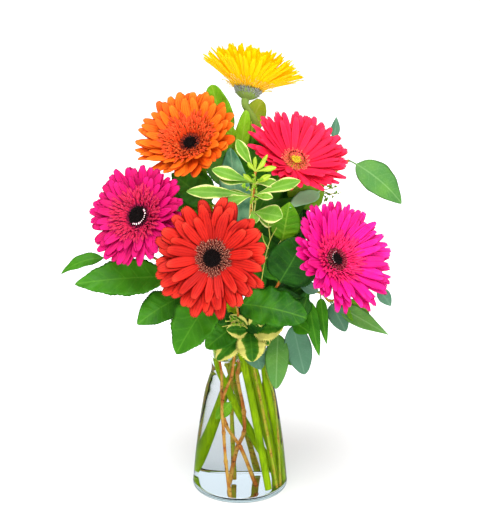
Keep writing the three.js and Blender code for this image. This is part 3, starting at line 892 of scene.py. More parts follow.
# %% [markdown]
# ## Stems that follow a route
# A gerbera's stem leaves the water straight, leans on the lip of the vase and bends at its neck to face
# the light. The CAD stems run along centripetal Catmull-Rom curves, so the same curve is sampled here and
# the two coincide. A tree turns the line into a tube whose thickness is a number kept on each point, which
# lets one tree make smooth stems, the swelling cup under a head and knobbly twigs.

# %% Routes
STEM_SPACING, TWIG_SPACING, FOOT_CLEAR = 2.5, 1.5, 0.4


def smooth_route(points, spacing=STEM_SPACING):
    """Points along the centripetal Catmull-Rom curve through these points, about this far apart."""
    known = [np.array(p, float) for p in points]
    known = [2 * known[0] - known[1], *known, 2 * known[-1] - known[-2]]
    made = []
    for i in range(1, len(known) - 2):
        p0, p1, p2, p3 = known[i - 1 : i + 3]
        d0, d1, d2 = (np.linalg.norm(b - a) ** 0.5 for a, b in ((p0, p1), (p1, p2), (p2, p3)))
        leave = ((p1 - p0) / d0 - (p2 - p0) / (d0 + d1) + (p2 - p1) / d1) * d1
        arrive = ((p2 - p1) / d1 - (p3 - p1) / (d1 + d2) + (p3 - p2) / d2) * d1
        steps = max(2, round(np.linalg.norm(p2 - p1) / spacing))
        for t in np.arange(steps) / steps:
            cubic = 2 * p1 - 2 * p2 + leave + arrive
            square = -3 * p1 + 3 * p2 - 2 * leave - arrive
            made.append(p1 + leave * t + square * t * t + cubic * t**3)
    made.append(known[-2])
    return np.array(made)


def foot_point(foot, following, radius):
    """The foot stands just clear of the vase floor, allowing for the lean of the stem."""
    point = np.array([*foot, FLOOR], float)
    way = np.array(following, float) - point
    return point + [0, 0, FOOT_CLEAR + radius * np.hypot(way[0], way[1]) / np.linalg.norm(way)]


# %% The tree that makes tubes
RING_SPACING = 12.0


def new_stalk_tree():
    bench = new_tree("tube along a route", {"Geometry": "Geometry", "Sides": "Int", "Material": "Material"})
    given = bench.node("NodeGroupInput").other
    line = bench.node("GeometryNodeMeshToCurve", None, {"Mesh": given("Geometry")})
    thick = bench.node("GeometryNodeInputNamedAttribute", {"data_type": "FLOAT"}, {"Name": "thick"})
    ring = {"Resolution": given("Sides"), "Radius": 1.0}
    ring = bench.node("GeometryNodeCurvePrimitiveCircle", None, ring)
    tube = {"Curve": line, "Profile Curve": ring, "Scale": thick, "Fill Caps": True}
    tube = bench.node("GeometryNodeCurveToMesh", None, tube)
    return close_tree(bench, tube, given("Material"))


stalk_tree = new_stalk_tree()


def stalk(lines, finish, sides):
    """One mesh of tubes. lines are (points, radii) in millimetres, one for each tube."""
    points, edges, thick, along = [], [], [], []
    for route, radii in lines:
        start = len(points)
        lengths = np.concatenate([[0], np.cumsum(np.linalg.norm(np.diff(route, axis=0), axis=1))])
        points += (np.array(route) * MM).tolist()
        edges += [(start + i, start + i + 1) for i in range(len(route) - 1)]
        thick += (np.array(radii) * MM).tolist()
        along += (lengths / RING_SPACING).tolist()
    mesh = bpy.data.meshes.new("lines")
    mesh.from_pydata(points, edges, [])
    for mark, values in (("thick", thick), ("along", along)):
        mesh.attributes.new(mark, "FLOAT", "POINT").data.foreach_set("value", values)
    return smooth(run_tree(stalk_tree, {"Sides": sides, "Material": finish}, mesh))


print("stems can follow a route")

# %% [markdown]
# ## The gerberas
# Each flower has a place for the middle of its disc and the way that it looks, read off the photograph.
# All its parts are first made about the upright axis and then turned to look that way. Ray petals stand
# in three whorls, or five on the yellow flower, that rise more and shorten inwards. Inside them comes a
# ring of strap-like trans florets on the fuller flowers, then curled disc florets, and closed buds fill
# the eye. A few stray florets of another colour lie on some discs as specks.

# %% Shared sizes of a head
STEM_RADIUS, CAD_STEM, STEM_SIDES, NECK_BEND, STEM_INTO_CUP = 3.3, 3.4, 16, 38.0, 14.0
NECK_SWELL, NECK_POINTS = 1.25, 8
PETAL_START, STRAP_LOW, CURL_LOW, SPECK_HEIGHT = 9.5, -3.6, -3.6, 1.2
GOLDEN_TURN = 137.508
FIRST_SEED = 11
CUP_BODY = [(-19.5, 4.0), (-18, 7.4), (-16, 10.2), (-12, 12.4), (-9, 13.0), (-7, 11.8), (-5, 10.6), (-4, 9)]
EYE_SECTION = [(0, -6), (9, -5.6), (12, -4.2), (11, -2.4), (8.5, -1.2), (5, -1.4), (0, -1.7)]
EYE_SIDES = 32
STRAP_LOOK = {"point": 0.3, "droop": 0.16, "cup": 0.2, "furrow": 0.1, "wild": 2.0, "notch": 0.06,
              "grid": (6, 4)}
# Each row of scales is (count, radii, heights, raises, sizes), and loose is as in ring_of.
SCALE_ROWS = [
    (40, (5.2, 9.4), (-18.6, -16.0), (40, 60), (0.6, 0.85)),
    (56, (10.0, 12.8), (-15.6, -11.8), (68, 80), (0.75, 0.8)),
    (50, (11.6, 12.4), (-11.6, -9.0), (76, 80), (0.8, 0.9)),
]
SCALES_LOOSE = (6, 5, 6, 0.12)


def in_scene(what, value):
    """Millimetres become metres and degrees become radians. A size is a share and stays."""
    if what in ("Radius", "Height"):
        return value * MM
    return value if what == "Size" else math.radians(value)


def ring_of(kinds, finish, count, radius, height, raised, size=1, step=None, loose=(0, 0, 0, 0), seed=1,
            start=0.0):
    """One use of the growing tree. A pair goes from the innermost copy to the outermost one, start turns
    the first copy, and loose is how far turn, raise and roll wander in degrees, and size as a share."""
    use = {"Kinds": kinds, "Material": finish, "Count": count, "Seed": seed}
    use |= {"Turn Start": math.radians(start), "Turn Step": math.radians(step or 360 / count)}
    for what, width in zip(WANDERING, loose):
        use[f"{what} Spread"] = in_scene(what, width)
    for what, pair in zip(PAIRED, (radius, height, raised, size)):
        inner, outer = pair if isinstance(pair, tuple) else (pair, pair)
        use |= {f"Inner {what}": in_scene(what, inner), f"Outer {what}": in_scene(what, outer)}
    return use


def packed(kinds, finish, count, radius, height, raised, size, seed, loose=(3, 9, 20, 0.18)):
    """Copies packed by the golden angle."""
    return ring_of(kinds, finish, count, radius, height, raised, size, GOLDEN_TURN, loose, seed)


def filled(kinds, finish, room, radii, *rest):
    """As many packed copies as fill a ring when each takes so much room."""
    inner, outer = radii
    return packed(kinds, finish, round((outer**2 - inner**2) / room), radii, *rest)


eye_dome = kinds_of("eye_dome", [to_mesh([turned(EYE_SECTION, EYE_SIDES)])])
print("one dome serves the eye of every flower")

# %% The six flowers
# rows are petal whorls, each (count, start radius, height, raise, size). straps are rings of trans
# florets, each (count, radii, raises, length, width). specks are (count, radius, finish, step), and their
# look is (size, raise, start). Turn and rise say which way a flower looks.
GERBERAS = {
    "yellow": {
        "face": (9.6, 43, 405.0), "turn": 154, "rise": 63, "bend": 24, "foot": (36, 0),
        "way": [(19, -1, 127), (18, 0, 152), (17.5, 4, 175), (17, 13, 220), (18, 26, 290), (16, 34, 362)],
        "petal": {"length": 42, "width": 5.6, "point": 0.4, "droop": 0.02, "furrow": 0.2, "notch": 0.05,
                  "wild": 1.1, "grid": (12, 6)},
        "rows": [(72, 11, -8.5, 31, 1.04), (70, 10.6, -8, 38, 1.02), (64, 10, -7, 46, 0.98),
                 (54, 9, -6, 54, 0.93), (42, 8, -5, 64, 0.84)],
        "disc_slot": "pale_disc", "eye": "yellow_buds", "eye_radius": 6.0,
        "curl": "yellow_buds", "curl_reach": 10.5,
        "strap": "straw_curls", "strap_height": -10.2, "straps": [(90, (12.4, 13.4), (24, 52), 15, 1.3)],
        "open_cup": True,
    },
    "orange": {
        "face": (-47, -8, 356.5), "turn": -22, "rise": 45, "foot": (30, -9),
        "way": [(10.5, -3, 127), (0, -5, 165), (-14, 0, 220), (-28, 10, 280)],
        "petal": {"length": 44.5, "width": 12.8, "point": 0.55, "droop": 0.04, "cup": 0.0, "furrow": 0.3,
                  "notch": 0.04, "wild": 1.3},
        "rows": [(23, 9.5, -6.5, 29, 1.0), (22, 9.3, -5.8, 33, 0.96), (20, 9, -5.0, 39, 0.84)],
        "eye": "dark_buds", "eye_radius": 5.8, "curl": "rust_curls", "curl_reach": 10.4,
        "strap": "orange_curls", "strap_lift": 1.4,
        "straps": [(110, (9.5, 13), (78, 66), 7.4, 2.4), (150, (13, 18), (68, 54), 8.6, 2.7),
                   (110, (18, 23), (56, 44), 8.6, 2.7)],
    },
    "coral": {
        "face": (53, -2, 338.6), "turn": 30, "rise": 54, "foot": (24, 22),
        "way": [(6, 16, 127), (10, 19, 160), (22, 23, 220), (37, 27, 280)],
        "petal": {"length": 46, "width": 9.4, "point": 0.45, "droop": 0.04, "notch": 0.08},
        "rows": [(29, 8.6, -6.5, 27, 1.0), (28, 8.4, -5.9, 31, 0.95), (26, 8.0, -5.2, 36, 0.84)],
        "disc_slot": "pale_disc", "eye": "green_buds", "eye_radius": 4.2,
        "curl": "peach_curls", "curl_reach": 8.6,
        "strap": "peach_curls", "straps": [(60, (7.4, 10.4), (62, 40), 6.0, 1.7)],
        "specks": (44, 7.6, "rust_curls", GOLDEN_TURN), "speck_look": (0.75, 70, 0),
    },
    "magenta": {
        "face": (-94.5, -52, 297.8), "turn": -28, "rise": 31, "foot": (27, 8),
        "way": [(-17, -6, 127), (-26, -9.5, 160), (-48, -14, 215), (-71, -15, 260)],
        "petal": {"length": 40.5, "width": 10.8, "point": 0.35, "droop": 0.07, "wild": 1.4, "notch": 0.05},
        "rows": [(30, 9.5, -6.5, 20, 1.02), (28, 9.3, -5.8, 24, 0.95), (25, 9.0, -5.0, 30, 0.8)],
        "eye": "dark_buds", "eye_radius": 8.6, "curl": "wine_curls", "curl_reach": 10.4,
        "strap": "crimson_straps",
        "straps": [(100, (9.8, 13), (68, 54), 8.0, 2.0), (170, (13, 21), (54, 36), 9.5, 2.2)],
        "specks": (12, 7.4, "pale_tips", -13.5), "speck_look": (0.8, 32, 20),
    },
    "red": {
        "face": (-25.3, -97, 271.5), "turn": -14, "rise": 19, "foot": (25, -21),
        "way": [(5.5, -18, 127), (-4, -25, 175), (-15, -38, 228)],
        "petal": {"length": 46, "width": 14.2, "droop": 0.11, "cup": -0.07, "wild": 2.1, "notch": 0.04,
                  "furrow": 0.7},
        "rows": [(21, 10, -6.5, 24, 1.0), (20, 10, -5.7, 28, 0.92), (18, 10, -4.6, 35, 0.76)],
        "eye": "dark_buds", "eye_radius": 7.8, "curl": "brown_curls", "curl_reach": 20.0, "curl_lift": 2.6,
    },
    "hot_pink": {
        "face": (90.6, -55, 256.9), "turn": 38, "rise": 34, "foot": (-27, 22),
        "way": [(-1, 8, 127), (16, 8, 152), (45, 0, 190), (66, -8, 220)],
        "petal": {"length": 49, "width": 9.6, "point": 0.4, "droop": 0.05, "notch": 0.05, "wild": 1.3},
        "rows": [(33, 9.5, -6.5, 23, 1.0), (32, 9.3, -5.9, 27, 0.95), (30, 9.0, -5.1, 32, 0.84)],
        "eye": "dark_buds", "eye_radius": 5.4, "curl": "ruby_curls", "curl_reach": 9.4,
        "strap": "ruby_straps",
        "straps": [(110, (9.2, 12.5), (64, 52), 9.0, 1.8), (170, (12.5, 20), (52, 36), 10.5, 2.0)],
        "specks": (8, 6.6, "pale_tips", 16.0), "speck_look": (0.42, 78, 130),
    },
}


def looking(flower):
    """Turns a head made about the upright axis to look where the flower looks."""
    turn, rise = math.radians(flower["turn"]), math.radians(flower["rise"])
    axis = Vector((math.sin(turn) * math.cos(rise), -math.cos(turn) * math.cos(rise), math.sin(rise)))
    turned_by = Vector((0, 0, 1)).rotation_difference(axis).to_matrix().to_4x4()
    return axis, Matrix.Translation(Vector(flower["face"]) * MM) @ turned_by


def make_petals(name, flower, seed, stand):
    kinds = petal_kinds(f"{name}_petal", seed=seed, **flower["petal"])
    whorls = []
    for k, (count, start, height, raised, size) in enumerate(flower["rows"]):
        loose = (4, 3.5 + 1.2 * k, 8 + 3 * k, 0.06)
        whorls.append(ring_of(kinds, petal_finishes[name], count, start, height, raised, size, None, loose,
                              seed + 7 * k))
    mesh = grow(f"{name}_petals", whorls, stand)
    place_piece(f"{name}_ray_petals", mesh, f"{name}_petals", [f"{name}_gerbera_petals"])


def make_disc(name, flower, seed, stand):
    eye, reach = flower["eye_radius"], flower["curl_reach"]
    middle, curl_low = (eye + reach) / 2, CURL_LOW + flower.get("curl_lift", 0)
    bud, curl = floret_finishes[flower["eye"]], floret_finishes[flower["curl"]]
    parts = [
        ring_of(eye_dome, bud, 1, 0, 0, 0),
        filled(buds, bud, 0.46, (0, eye), (-2.8, -2.2), (88, 76), (0.75, 1.05), seed, (3, 6, 10, 0.1)),
        filled(fine_curls, curl, 0.4, (eye - 0.8, middle + 1), (-2.0, -2.4), (84, 64), (0.75, 0.95),
               seed + 1),
        filled(long_curls, curl, 0.44, (middle - 0.5, reach), (-2.4, curl_low), (70, 46), (0.7, 0.85),
               seed + 2),
    ]
    climb = math.tan(math.radians(flower["rows"][-1][3]))
    strap_low = STRAP_LOW + flower.get("strap_lift", 0)
    for k, (count, radii, raised, length, width) in enumerate(flower.get("straps", [])):
        kinds = petal_kinds(f"{name}_strap_{k}", length, width, seed + k, **STRAP_LOOK)
        heights = tuple(strap_low + climb * (radius - PETAL_START) for radius in radii)
        parts.append(packed(kinds, floret_finishes[flower["strap"]], count, radii,
                            flower.get("strap_height", heights), raised, (0.8, 1.0), seed + 3 + k,
                            (4, 8, 20, 0.15)))
    if "specks" in flower:
        count, radius, finish, step = flower["specks"]
        big, raised, start = flower["speck_look"]
        parts.append(ring_of(buds, floret_finishes[finish], count, radius, SPECK_HEIGHT, raised, big, step,
                             (3, 8, 10, 0.2), seed, start))
    mesh = grow(f"{name}_disc", parts, stand)
    slot = flower.get("disc_slot", "dark_disc")
    place_piece(f"{name}_disc_florets", mesh, slot, [f"{name}_gerbera_disc"])


def make_stem(name, flower, seed, axis, stand):
    face, along = np.array(flower["face"], float), np.array(axis)
    way = [foot_point(flower["foot"], flower["way"][0], CAD_STEM), *flower["way"]]
    way += [face - along * flower.get("bend", NECK_BEND), face - along * STEM_INTO_CUP]
    route = smooth_route(way)
    radii = np.full(len(route), STEM_RADIUS)
    radii[-NECK_POINTS:] = np.linspace(STEM_RADIUS, STEM_RADIUS * NECK_SWELL, NECK_POINTS)
    cup = np.array([face + along * height for height, radius in CUP_BODY])
    lines = [(route, radii), (cup, [radius for height, radius in CUP_BODY])]
    stem = stalk(lines, green_stem, STEM_SIDES)
    place_piece(f"{name}_stem", stem, "gerbera_stem", [f"{name}_gerbera_stem"])
    rows = SCALE_ROWS[:-1] if flower.get("open_cup") else SCALE_ROWS
    scales = [packed(cup_scales, green_cup, *row, seed + k, SCALES_LOOSE) for k, row in enumerate(rows)]
    place_piece(f"{name}_cup_scales", grow(f"{name}_cup", scales, stand), "gerbera_stem")


for seed, (name, flower) in enumerate(GERBERAS.items(), FIRST_SEED):
    axis, stand = looking(flower)
    make_petals(name, flower, seed, stand)
    make_disc(name, flower, seed, stand)
    make_stem(name, flower, seed, axis, stand)

# %% [markdown]
# ## The greenery
# Four kinds of cut foliage fill the vase. Salal has broad, pointed, finely toothed leaves; variegated
# pittosporum has small spoon-shaped leaves with cream margins; the eucalyptus has long blue-grey blades;
# and a small cutting with jagged cream margins sits on the lip. A leaf is a blade bent along its rib. It
# folds up from the rib, waves at its margin, swells between its side veins and runs down into a stalk
# that starts inside its twig, so it is seen to grow there.

# %% Kinds of leaf
SALAL = {"finish": "salal", "bark": tan_bark, "widest": 0.42, "stalk": 0.08, "full": 0.82,
         "tooth": 0.022, "fold": 0.2, "wave": 0.07, "veins": 7, "swell": 0.5}
PITTOSPORUM = {"finish": "pittosporum", "bark": tan_bark, "widest": 0.66, "stalk": 0.1, "full": 0.9,
               "tooth": 0, "fold": 0.22, "wave": 0.08, "veins": 6, "swell": 0.15}
EUCALYPTUS = {"finish": "eucalyptus", "bark": green_bark, "widest": 0.45, "stalk": 0.12, "full": 0.85,
              "tooth": 0, "fold": 0.12, "wave": 0.04, "veins": 9, "swell": 0.1}
VARIEGATED = {"finish": "variegated", "bark": green_bark, "widest": 0.5, "stalk": 0.1, "full": 0.8,
              "tooth": 0.09, "fold": 0.16, "wave": 0.1, "veins": 6, "swell": 0.4}
LEAF_STEPS, LEAF_ACROSS = 44, 12
WAVE_LENGTH, STALK_HALF, STALK_TAPER = 16, 0.65, 0.4


def leaf_blade(look, base, finish, draw):
    """look is the kind of leaf with what is this leaf's own: tip, width, arch, tone and face."""
    base, tip = np.array(base, float), np.array(look["tip"], float)
    along = unit(tip - base)
    up = np.array(look["face"], float)
    up = unit(up - along * (up @ along))
    middle = (base + tip) / 2 + up * look["arch"]
    sharp = math.log(0.5) / math.log(look["widest"])
    phase, sway = draw.uniform(0, 6.28), draw.uniform(-0.5, 0.5)
    waves = max(2.0, np.linalg.norm(tip - base) / WAVE_LENGTH)

    def halfwidth(t):
        part = np.clip((t - look["stalk"]) / (1 - look["stalk"]), 0, 1)
        body = np.sin(np.pi * part**sharp) ** look["full"] * look["width"] / 2
        return np.maximum(body, 0) + STALK_HALF - STALK_TAPER * part

    def sheet(t, s):
        half = halfwidth(t)
        onblade = np.clip((t - look["stalk"]) / 0.06, 0, 1)
        saw = np.where(np.arange(t.shape[0]) % 2 == 0, 1.0, -1.0)[:, None]
        half = half * (1 + saw * look["tooth"] * onblade * (np.abs(s) > 0.98) * (t < 0.97))
        t3 = t[..., None]
        rib = (1 - t3) ** 2 * base + 2 * t3 * (1 - t3) * middle + t3**2 * tip
        tangent = unit((1 - t3) * (middle - base) + t3 * (tip - middle))
        side = unit(np.cross(up, tangent))
        normal = np.cross(tangent, side)
        out = np.abs(s)
        lift = look["fold"] * half * (out**1.4) * onblade
        waving = np.sin(waves * 2 * np.pi * t + phase + 1.6 * np.sign(s))
        lift = lift + look["wave"] * half * out**2 * waving * onblade
        swell = np.cos(2 * np.pi * (t * look["veins"] - out * look["veins"] * 0.16))
        lift = lift - look["swell"] * swell * np.sin(np.pi * out) * onblade * np.minimum(half / 8, 1)
        twist = sway * (t - 0.35) * onblade
        y, z = s * half, lift
        y, z = y * np.cos(twist) - z * np.sin(twist), y * np.sin(twist) + z * np.cos(twist)
        return rib + side * y[..., None] + normal * z[..., None]

    def thickness(t, s):
        stalk_part = 1 - np.clip((t - look["stalk"]) / 0.1, 0, 1)
        rib_part = np.exp(-((s * halfwidth(t) / 0.7) ** 2)) * 0.45 * (1 - 0.6 * t)
        return 0.2 + rib_part + 0.35 * stalk_part * (1 - s**2)

    t = np.linspace(0, 1, LEAF_STEPS + 1)[:, None]
    marks = {"halfwidth": halfwidth(t) * np.ones((1, LEAF_ACROSS + 1)), "tone": look["tone"]}
    return blade(sheet, thickness, LEAF_STEPS, LEAF_ACROSS, marks, finish)


print("leaves can be cut")

# %% [markdown]
# ## The cuttings
# Each cutting stands on the vase floor at its foot and follows its way, and some have a side shoot. The
# named leaves stand for leaves of the CAD model. Those under more are small or half hidden ones that fill
# the bunch. Sprigs are thin side twigs, with a few buds on them.

# %% Where each leaf grows
FORWARD = (0.1, -1, 0.2)


def leaf(where, tip, width, arch=3, tone=0.3, **own):
    """where is the number of a point of the twig, "shoot" and the number of its point, or a place. arch
    lifts the rib, a high tone is fresher, and own may hold its face, its finish and its shape."""
    return {"where": where, "tip": tip, "width": width, "arch": arch, "tone": tone, "face": FORWARD, **own}


TWIGS = {
    "salal_left": {
        "kind": SALAL, "foot": (13, -10),
        "way": [(0, -15, 50), (-12, -17, 74), (-16, -16, 105), (-16.5, -15.5, 127), (-20, -17, 150),
                (-24, -19, 168), (-38, -30, 192), (-52, -42, 216), (-61, -46, 236), (-74, -30, 245),
                (-95, -16, 250), (-113, -12, 249), (-127, -13, 244)],
        "leaves": {
            "long": leaf(8, (-155, -47, 229), 38, 10, 0.5, face=(0, -0.75, 0.66)),
            "low": leaf(7, (-96, -66, 196), 33, 8, 0.25, face=(-0.2, -0.7, 0.7)),
            "small": leaf(12, (-171, -17, 229), 15, 15, 0.6, face=(0, -0.6, 0.8)),
        },
        "more": [
            leaf(7, (-66, -60, 262), 22, 5, 0.1, face=(-0.2, -0.9, 0.3)),
        ],
    },
    "salal_front": {
        "kind": SALAL, "foot": (-9, -33),
        "way": [(-13, -31, 40), (-15, -29, 70), (-16, -23, 100), (-7.5, -21, 127), (-5, -26, 156),
                (-2, -42, 188), (-4, -60, 214), (-17, -65, 236)],
        "from": 5, "shoot": [(18, -50, 212), (36, -51, 231), (39, -45, 250), (39, -43, 268)],
        "leaves": {
            "under_red": leaf(7, (-59, -86, 174), 44, 9, 0.5, face=(-0.25, -0.8, 0.55), widest=0.48,
                              full=0.78),
            "broad": leaf(6, (62, -80, 207), 40, 10, 0.05, face=(0.1, -0.65, 0.75), full=0.55, wave=0.12),
            "dark": leaf("shoot 1", (60, -50, 275), 46, 4, 0.0, face=(0.1, -1, 0.1), full=0.5,
                         finish="dark"),
            "olive": leaf("shoot 3", (46, -42, 308), 28, 2, 0.0, face=(0, -1, 0.2), finish="lime"),
        },
        "more": [
            leaf("shoot 1", (20, -34, 274), 28, 3, 0.0, face=(-0.1, -1, 0.2)),
            leaf("shoot 0", (2, -30, 262), 30, 3, 0.05, face=(-0.2, -1, 0.2)),
            leaf("shoot 1", (76, -36, 258), 34, 3, 0.0, finish="dark"),
            leaf("shoot 0", (58, -42, 214), 26, 3, 0.0, finish="dark"),
            leaf(5, (30, -46, 196), 24, 3, 0.0, face=(0.1, -1, 0.3), finish="dark"),
            leaf(5, (-22, -50, 190), 22, 3, 0.0, face=(-0.1, -1, 0.3), finish="dark"),
            leaf(5, (-32, -66, 172), 26, 4, face=(-0.2, -0.9, 0.4), full=0.6),
            leaf(5, (50, -10, 232), 30, 3, 0.0, face=(0.1, -0.9, 0.4), finish="dark"),
            leaf(5, (66, -30, 224), 26, 3, 0.1, face=(0.1, -0.9, 0.4), finish="dark"),
            leaf((-7.6, -19, 99), (-21.5, -19, 80), 12, 2, 0.2, face=(0.2, -1, 0.2), finish="lime"),
        ],
        "sprigs": [
            [(18, -50, 212), (22, -51, 247), (28, -52, 274), (34, -51, 286)],
            [(24, -51.5, 256), (30, -53, 262), (38, -53, 274)],
            [(26.5, -52, 266), (22, -53, 274), (20.4, -52, 281)],
            [(28, -52, 274), (27, -51, 283), (26, -50, 291)],
        ],
    },
    "pittosporum": {
        "kind": PITTOSPORUM, "foot": (-8, -2),
        "way": [(-2, -5, 45), (3, -7, 62), (3, -10, 85), (-2, -11, 127), (4, -12, 150), (6, -22, 190),
                (8, -40, 245), (10, -57, 303), (12, -58, 319), (13, -57, 330), (14, -56, 341)],
        "leaves": {
            "spoon": leaf(8, (-49, -63, 324), 13, face=(0, -0.8, 0.6)),
            "upper_left": leaf(9, (-26, -52, 342), 13, 2, 0.4, face=(0, -0.8, 0.6)),
            "top": leaf(10, (-3, -51, 370), 10, 2, 0.5, face=(-0.3, -1, 0.2)),
            "right": leaf(8, (55, -66, 335), 12, 4, face=(0, -0.8, 0.6)),
            "low_right": leaf(7, (39, -74, 303), 19, 3, 0.4, face=(0.2, -0.8, 0.5)),
        },
        "more": [
            leaf(8, (-17, -67, 312), 12, 3, 0.6, face=(0, -0.8, 0.6)),
            leaf(7, (14, -68, 295), 10, 3, 0.5, face=(0.3, -0.9, 0.2)),
            leaf(10, (14, -60, 356), 3.6, 1, face=(-0.4, -0.9, 0.2), finish="gold"),
            leaf(10, (23, -60, 352), 3.8, 1, face=(0.2, -0.9, 0.4), finish="gold"),
            leaf(10, (25, -60, 358), 3.2, 1, face=(0.3, -0.9, 0.2), finish="gold"),
            leaf(10, (7, -60, 351), 3.6, 1, face=(-0.2, -0.9, 0.3), finish="gold"),
            leaf(10, (33, -60, 346), 4.4, 1, face=(0.1, -0.9, 0.5), finish="gold"),
            leaf(9, (28, -64, 340), 5, 2, face=(0.2, -0.9, 0.3), finish="gold"),
            leaf(9, (3, -64, 341), 4, 1, face=(-0.2, -0.9, 0.3), finish="gold"),
            leaf(9, (-19, -50, 333), 12, 3, 0.2, face=(0, -0.8, 0.6)),
            leaf(9, (35, -60, 331), 8, 2, 0.7, face=(0.1, -0.8, 0.6)),
            leaf(8, (30, -70, 320), 8, 2, 0.5, face=(0.1, -0.8, 0.6)),
            leaf(8, (-14, -52, 318), 9, 2, 0.5, face=(0, -0.8, 0.6)),
            leaf(7, (32, -44, 288), 14, 2, face=(0.2, -0.9, 0.3)),
        ],
        "sprigs": [
            [(9.5, -54, 290), (11.5, -58.6, 305), (11, -60, 318), (13, -59, 336)],
            [(10.5, -53, 292), (13.4, -57.6, 306), (14.6, -58, 320), (13.4, -57.6, 340)],
            [(8, -52, 284), (8.6, -58, 300), (10, -58.4, 316), (12.2, -58, 334)],
            [(11, -58, 312), (18, -62, 318), (22, -64, 322)],
            [(12, -58, 322), (5, -62, 328), (1, -64, 330)],
            [(12, -58, 328), (19, -61, 335), (24, -62, 338)],
        ],
        "buds": 64,
    },
    "eucalyptus_low": {
        "kind": EUCALYPTUS, "foot": (36, -13),
        "way": [(30, -4, 97), (22.6, -5.2, 127), (23, -11, 152), (26, -17, 168), (37, -28, 178),
                (49, -37, 190), (64, -41, 217), (76, -39, 218), (85, -34, 208), (97, -30, 210),
                (114, -22, 216), (131, -15, 217)],
        "leaves": {
            "hanging_left": leaf(4, (34, -64, 130), 22, 8, face=(-0.1, -0.95, 0.3), finish="moss",
                                 full=0.65),
            "hanging_right": leaf(5, (62, -45, 137), 25, -3, 0.6, face=(0.1, -0.95, 0.3), full=0.6),
            "narrow_left": leaf(6, (75, -58, 161), 14, face=(-0.4, -0.9, 0.2), finish="salal", widest=0.32),
            "narrow_right": leaf(7, (82, -52, 171), 11, face=(-0.4, -0.9, 0.2), finish="salal", widest=0.3),
            "long": leaf(8, (141, -46, 178), 18, -1, face=(0.1, -0.8, 0.6), finish="moss", full=1.15,
                         widest=0.38),
            "green": leaf(9, (123, -39, 186), 22, 1, 0.0, face=(0.2, -0.7, 0.7), finish="lime"),
            "end": leaf(11, (145, -18, 197), 12, 1, 0.6, face=(0, -1, 0.2)),
        },
        "more": [
            leaf(8, (100, -48, 182), 18, 1, face=(0.1, -0.9, 0.4), full=0.6),
            leaf(7, (54, -46, 230), 11, 2, 0.6, face=(0, -0.9, 0.4)),
            leaf(5, (66, -62, 186), 15, 2, 0.4, face=(-0.2, -0.9, 0.3), finish="salal"),
            leaf(6, (56, -56, 196), 14, 2, 0.2, face=(0, -0.9, 0.3), finish="dark"),
            leaf(3, (50, -22, 137), 15, 3, 0.0, face=(0, -1, 0.2), finish="salal"),
            leaf(5, (65, -44, 222), 14, 2, face=(0, -1, 0.2), finish="dark"),
        ],
        "sprigs": [
            [(49, -37, 190), (46, -43, 196), (41.5, -47, 202)],
            [(46, -43, 196), (48, -47, 200)],
            [(49, -37, 190), (51, -43, 194)],
            [(46, -43, 196), (38.6, -49, 196.5)],
        ],
        "buds": 46,
    },
    "eucalyptus_high": {
        "kind": EUCALYPTUS, "foot": (18, 33),
        "way": [(14, 17, 127), (17, 19, 158), (30, 24, 200), (58, 28, 265), (86, 24, 312),
                (104, 18, 332)],
        "from": 4, "shoot": [(88, 31, 330), (90, 37, 346)],
        "leaves": {
            "far_right": leaf(5, (155, 10, 291), 31, 20, 0.1, face=(0.2, -0.85, 0.5), finish="moss",
                              widest=0.4),
            "by_coral": leaf("shoot 1", (93, 44, 368), 9, 1, 0.5, face=(0.3, -0.9, 0.1)),
        },
        "more": [
            # This leaf sits in shade and takes the pale silver finish at full tone, which is painted light.
            leaf((79, 25, 300), (46, -44, 303), 17, 3, 1.0, face=(0, -0.75, 0.66), finish="silver"),
            leaf(2, (63, 18, 296), 30, 3, 0.1, finish="dark"),
            leaf(2, (42, 16, 311), 30, 3, 0.2, finish="dark"), leaf(2, (56, 12, 306), 30, finish="dark"),
            leaf(3, (84, 8, 270), 24, 3, 0.1, finish="dark"),
            leaf((85, 25, 297), (45, 5, 306), 34, 4, 0.4, face=(0, -0.95, 0.3), finish="lime", full=0.5),
        ],
        "sprigs": [
            [(79, 25, 300), (86, 24, 302), (94, 22, 305)],
            [(79, 25, 300), (87, 23, 297), (91, 22, 294)],
            [(86, 24, 302), (87, 24, 308)],
            [(87, 23, 297), (98, 24, 298)],
            [(79, 25, 300), (82, 22, 294), (84, 20, 290)],
        ],
        "buds": 26,
    },
    "variegated": {
        "kind": VARIEGATED, "foot": (33, -17),
        "way": [(13.5, -17.5, 127), (10, -26, 156), (9, -35, 173), (9, -43, 182)],
        "leaves": {
            "left": leaf(3, (-22, -59, 157), 20, 5, 0.1, face=(-0.2, -0.8, 0.6), full=0.6),
            "front": leaf(3, (12, -70, 160), 27, 5, 0.1, face=(0, -0.6, 0.8), full=0.6),
            "right": leaf(3, (41, -58, 191), 26, 3, 0.0, face=(0.1, -0.8, 0.6), full=0.6),
        },
        "more": [
            leaf(3, (-13, -58, 188), 17, 3, 0.1, face=(-0.1, -0.9, 0.4)),
            leaf(3, (-10, -52, 200), 13, 3, 0.1, face=(-0.1, -0.9, 0.4)),
            leaf(3, (28, -56, 172), 20, 3, 0.0, face=(0.1, -0.9, 0.4)),
            leaf(3, (22, -50, 204), 14, 3, 0.0, face=(0.1, -0.9, 0.4)),
            leaf(2, (20, -50, 144), 22, 3, 0.7, face=(0.1, -1, 0.1), finish="eucalyptus"),
        ],
        "sprigs": [
            [(9, -43, 182), (0, -52, 194), (-7.5, -58, 201)],
            [(9, -43, 182), (2, -53, 190), (-8, -57, 192), (-17, -56, 190)],
            [(0, -52, 194), (-8, -56, 196), (-14, -56, 195)],
        ],
        "buds": 14,
    },
    "centre": {
        "kind": SALAL | {"tooth": 0, "bark": green_bark}, "foot": (-4, 12),
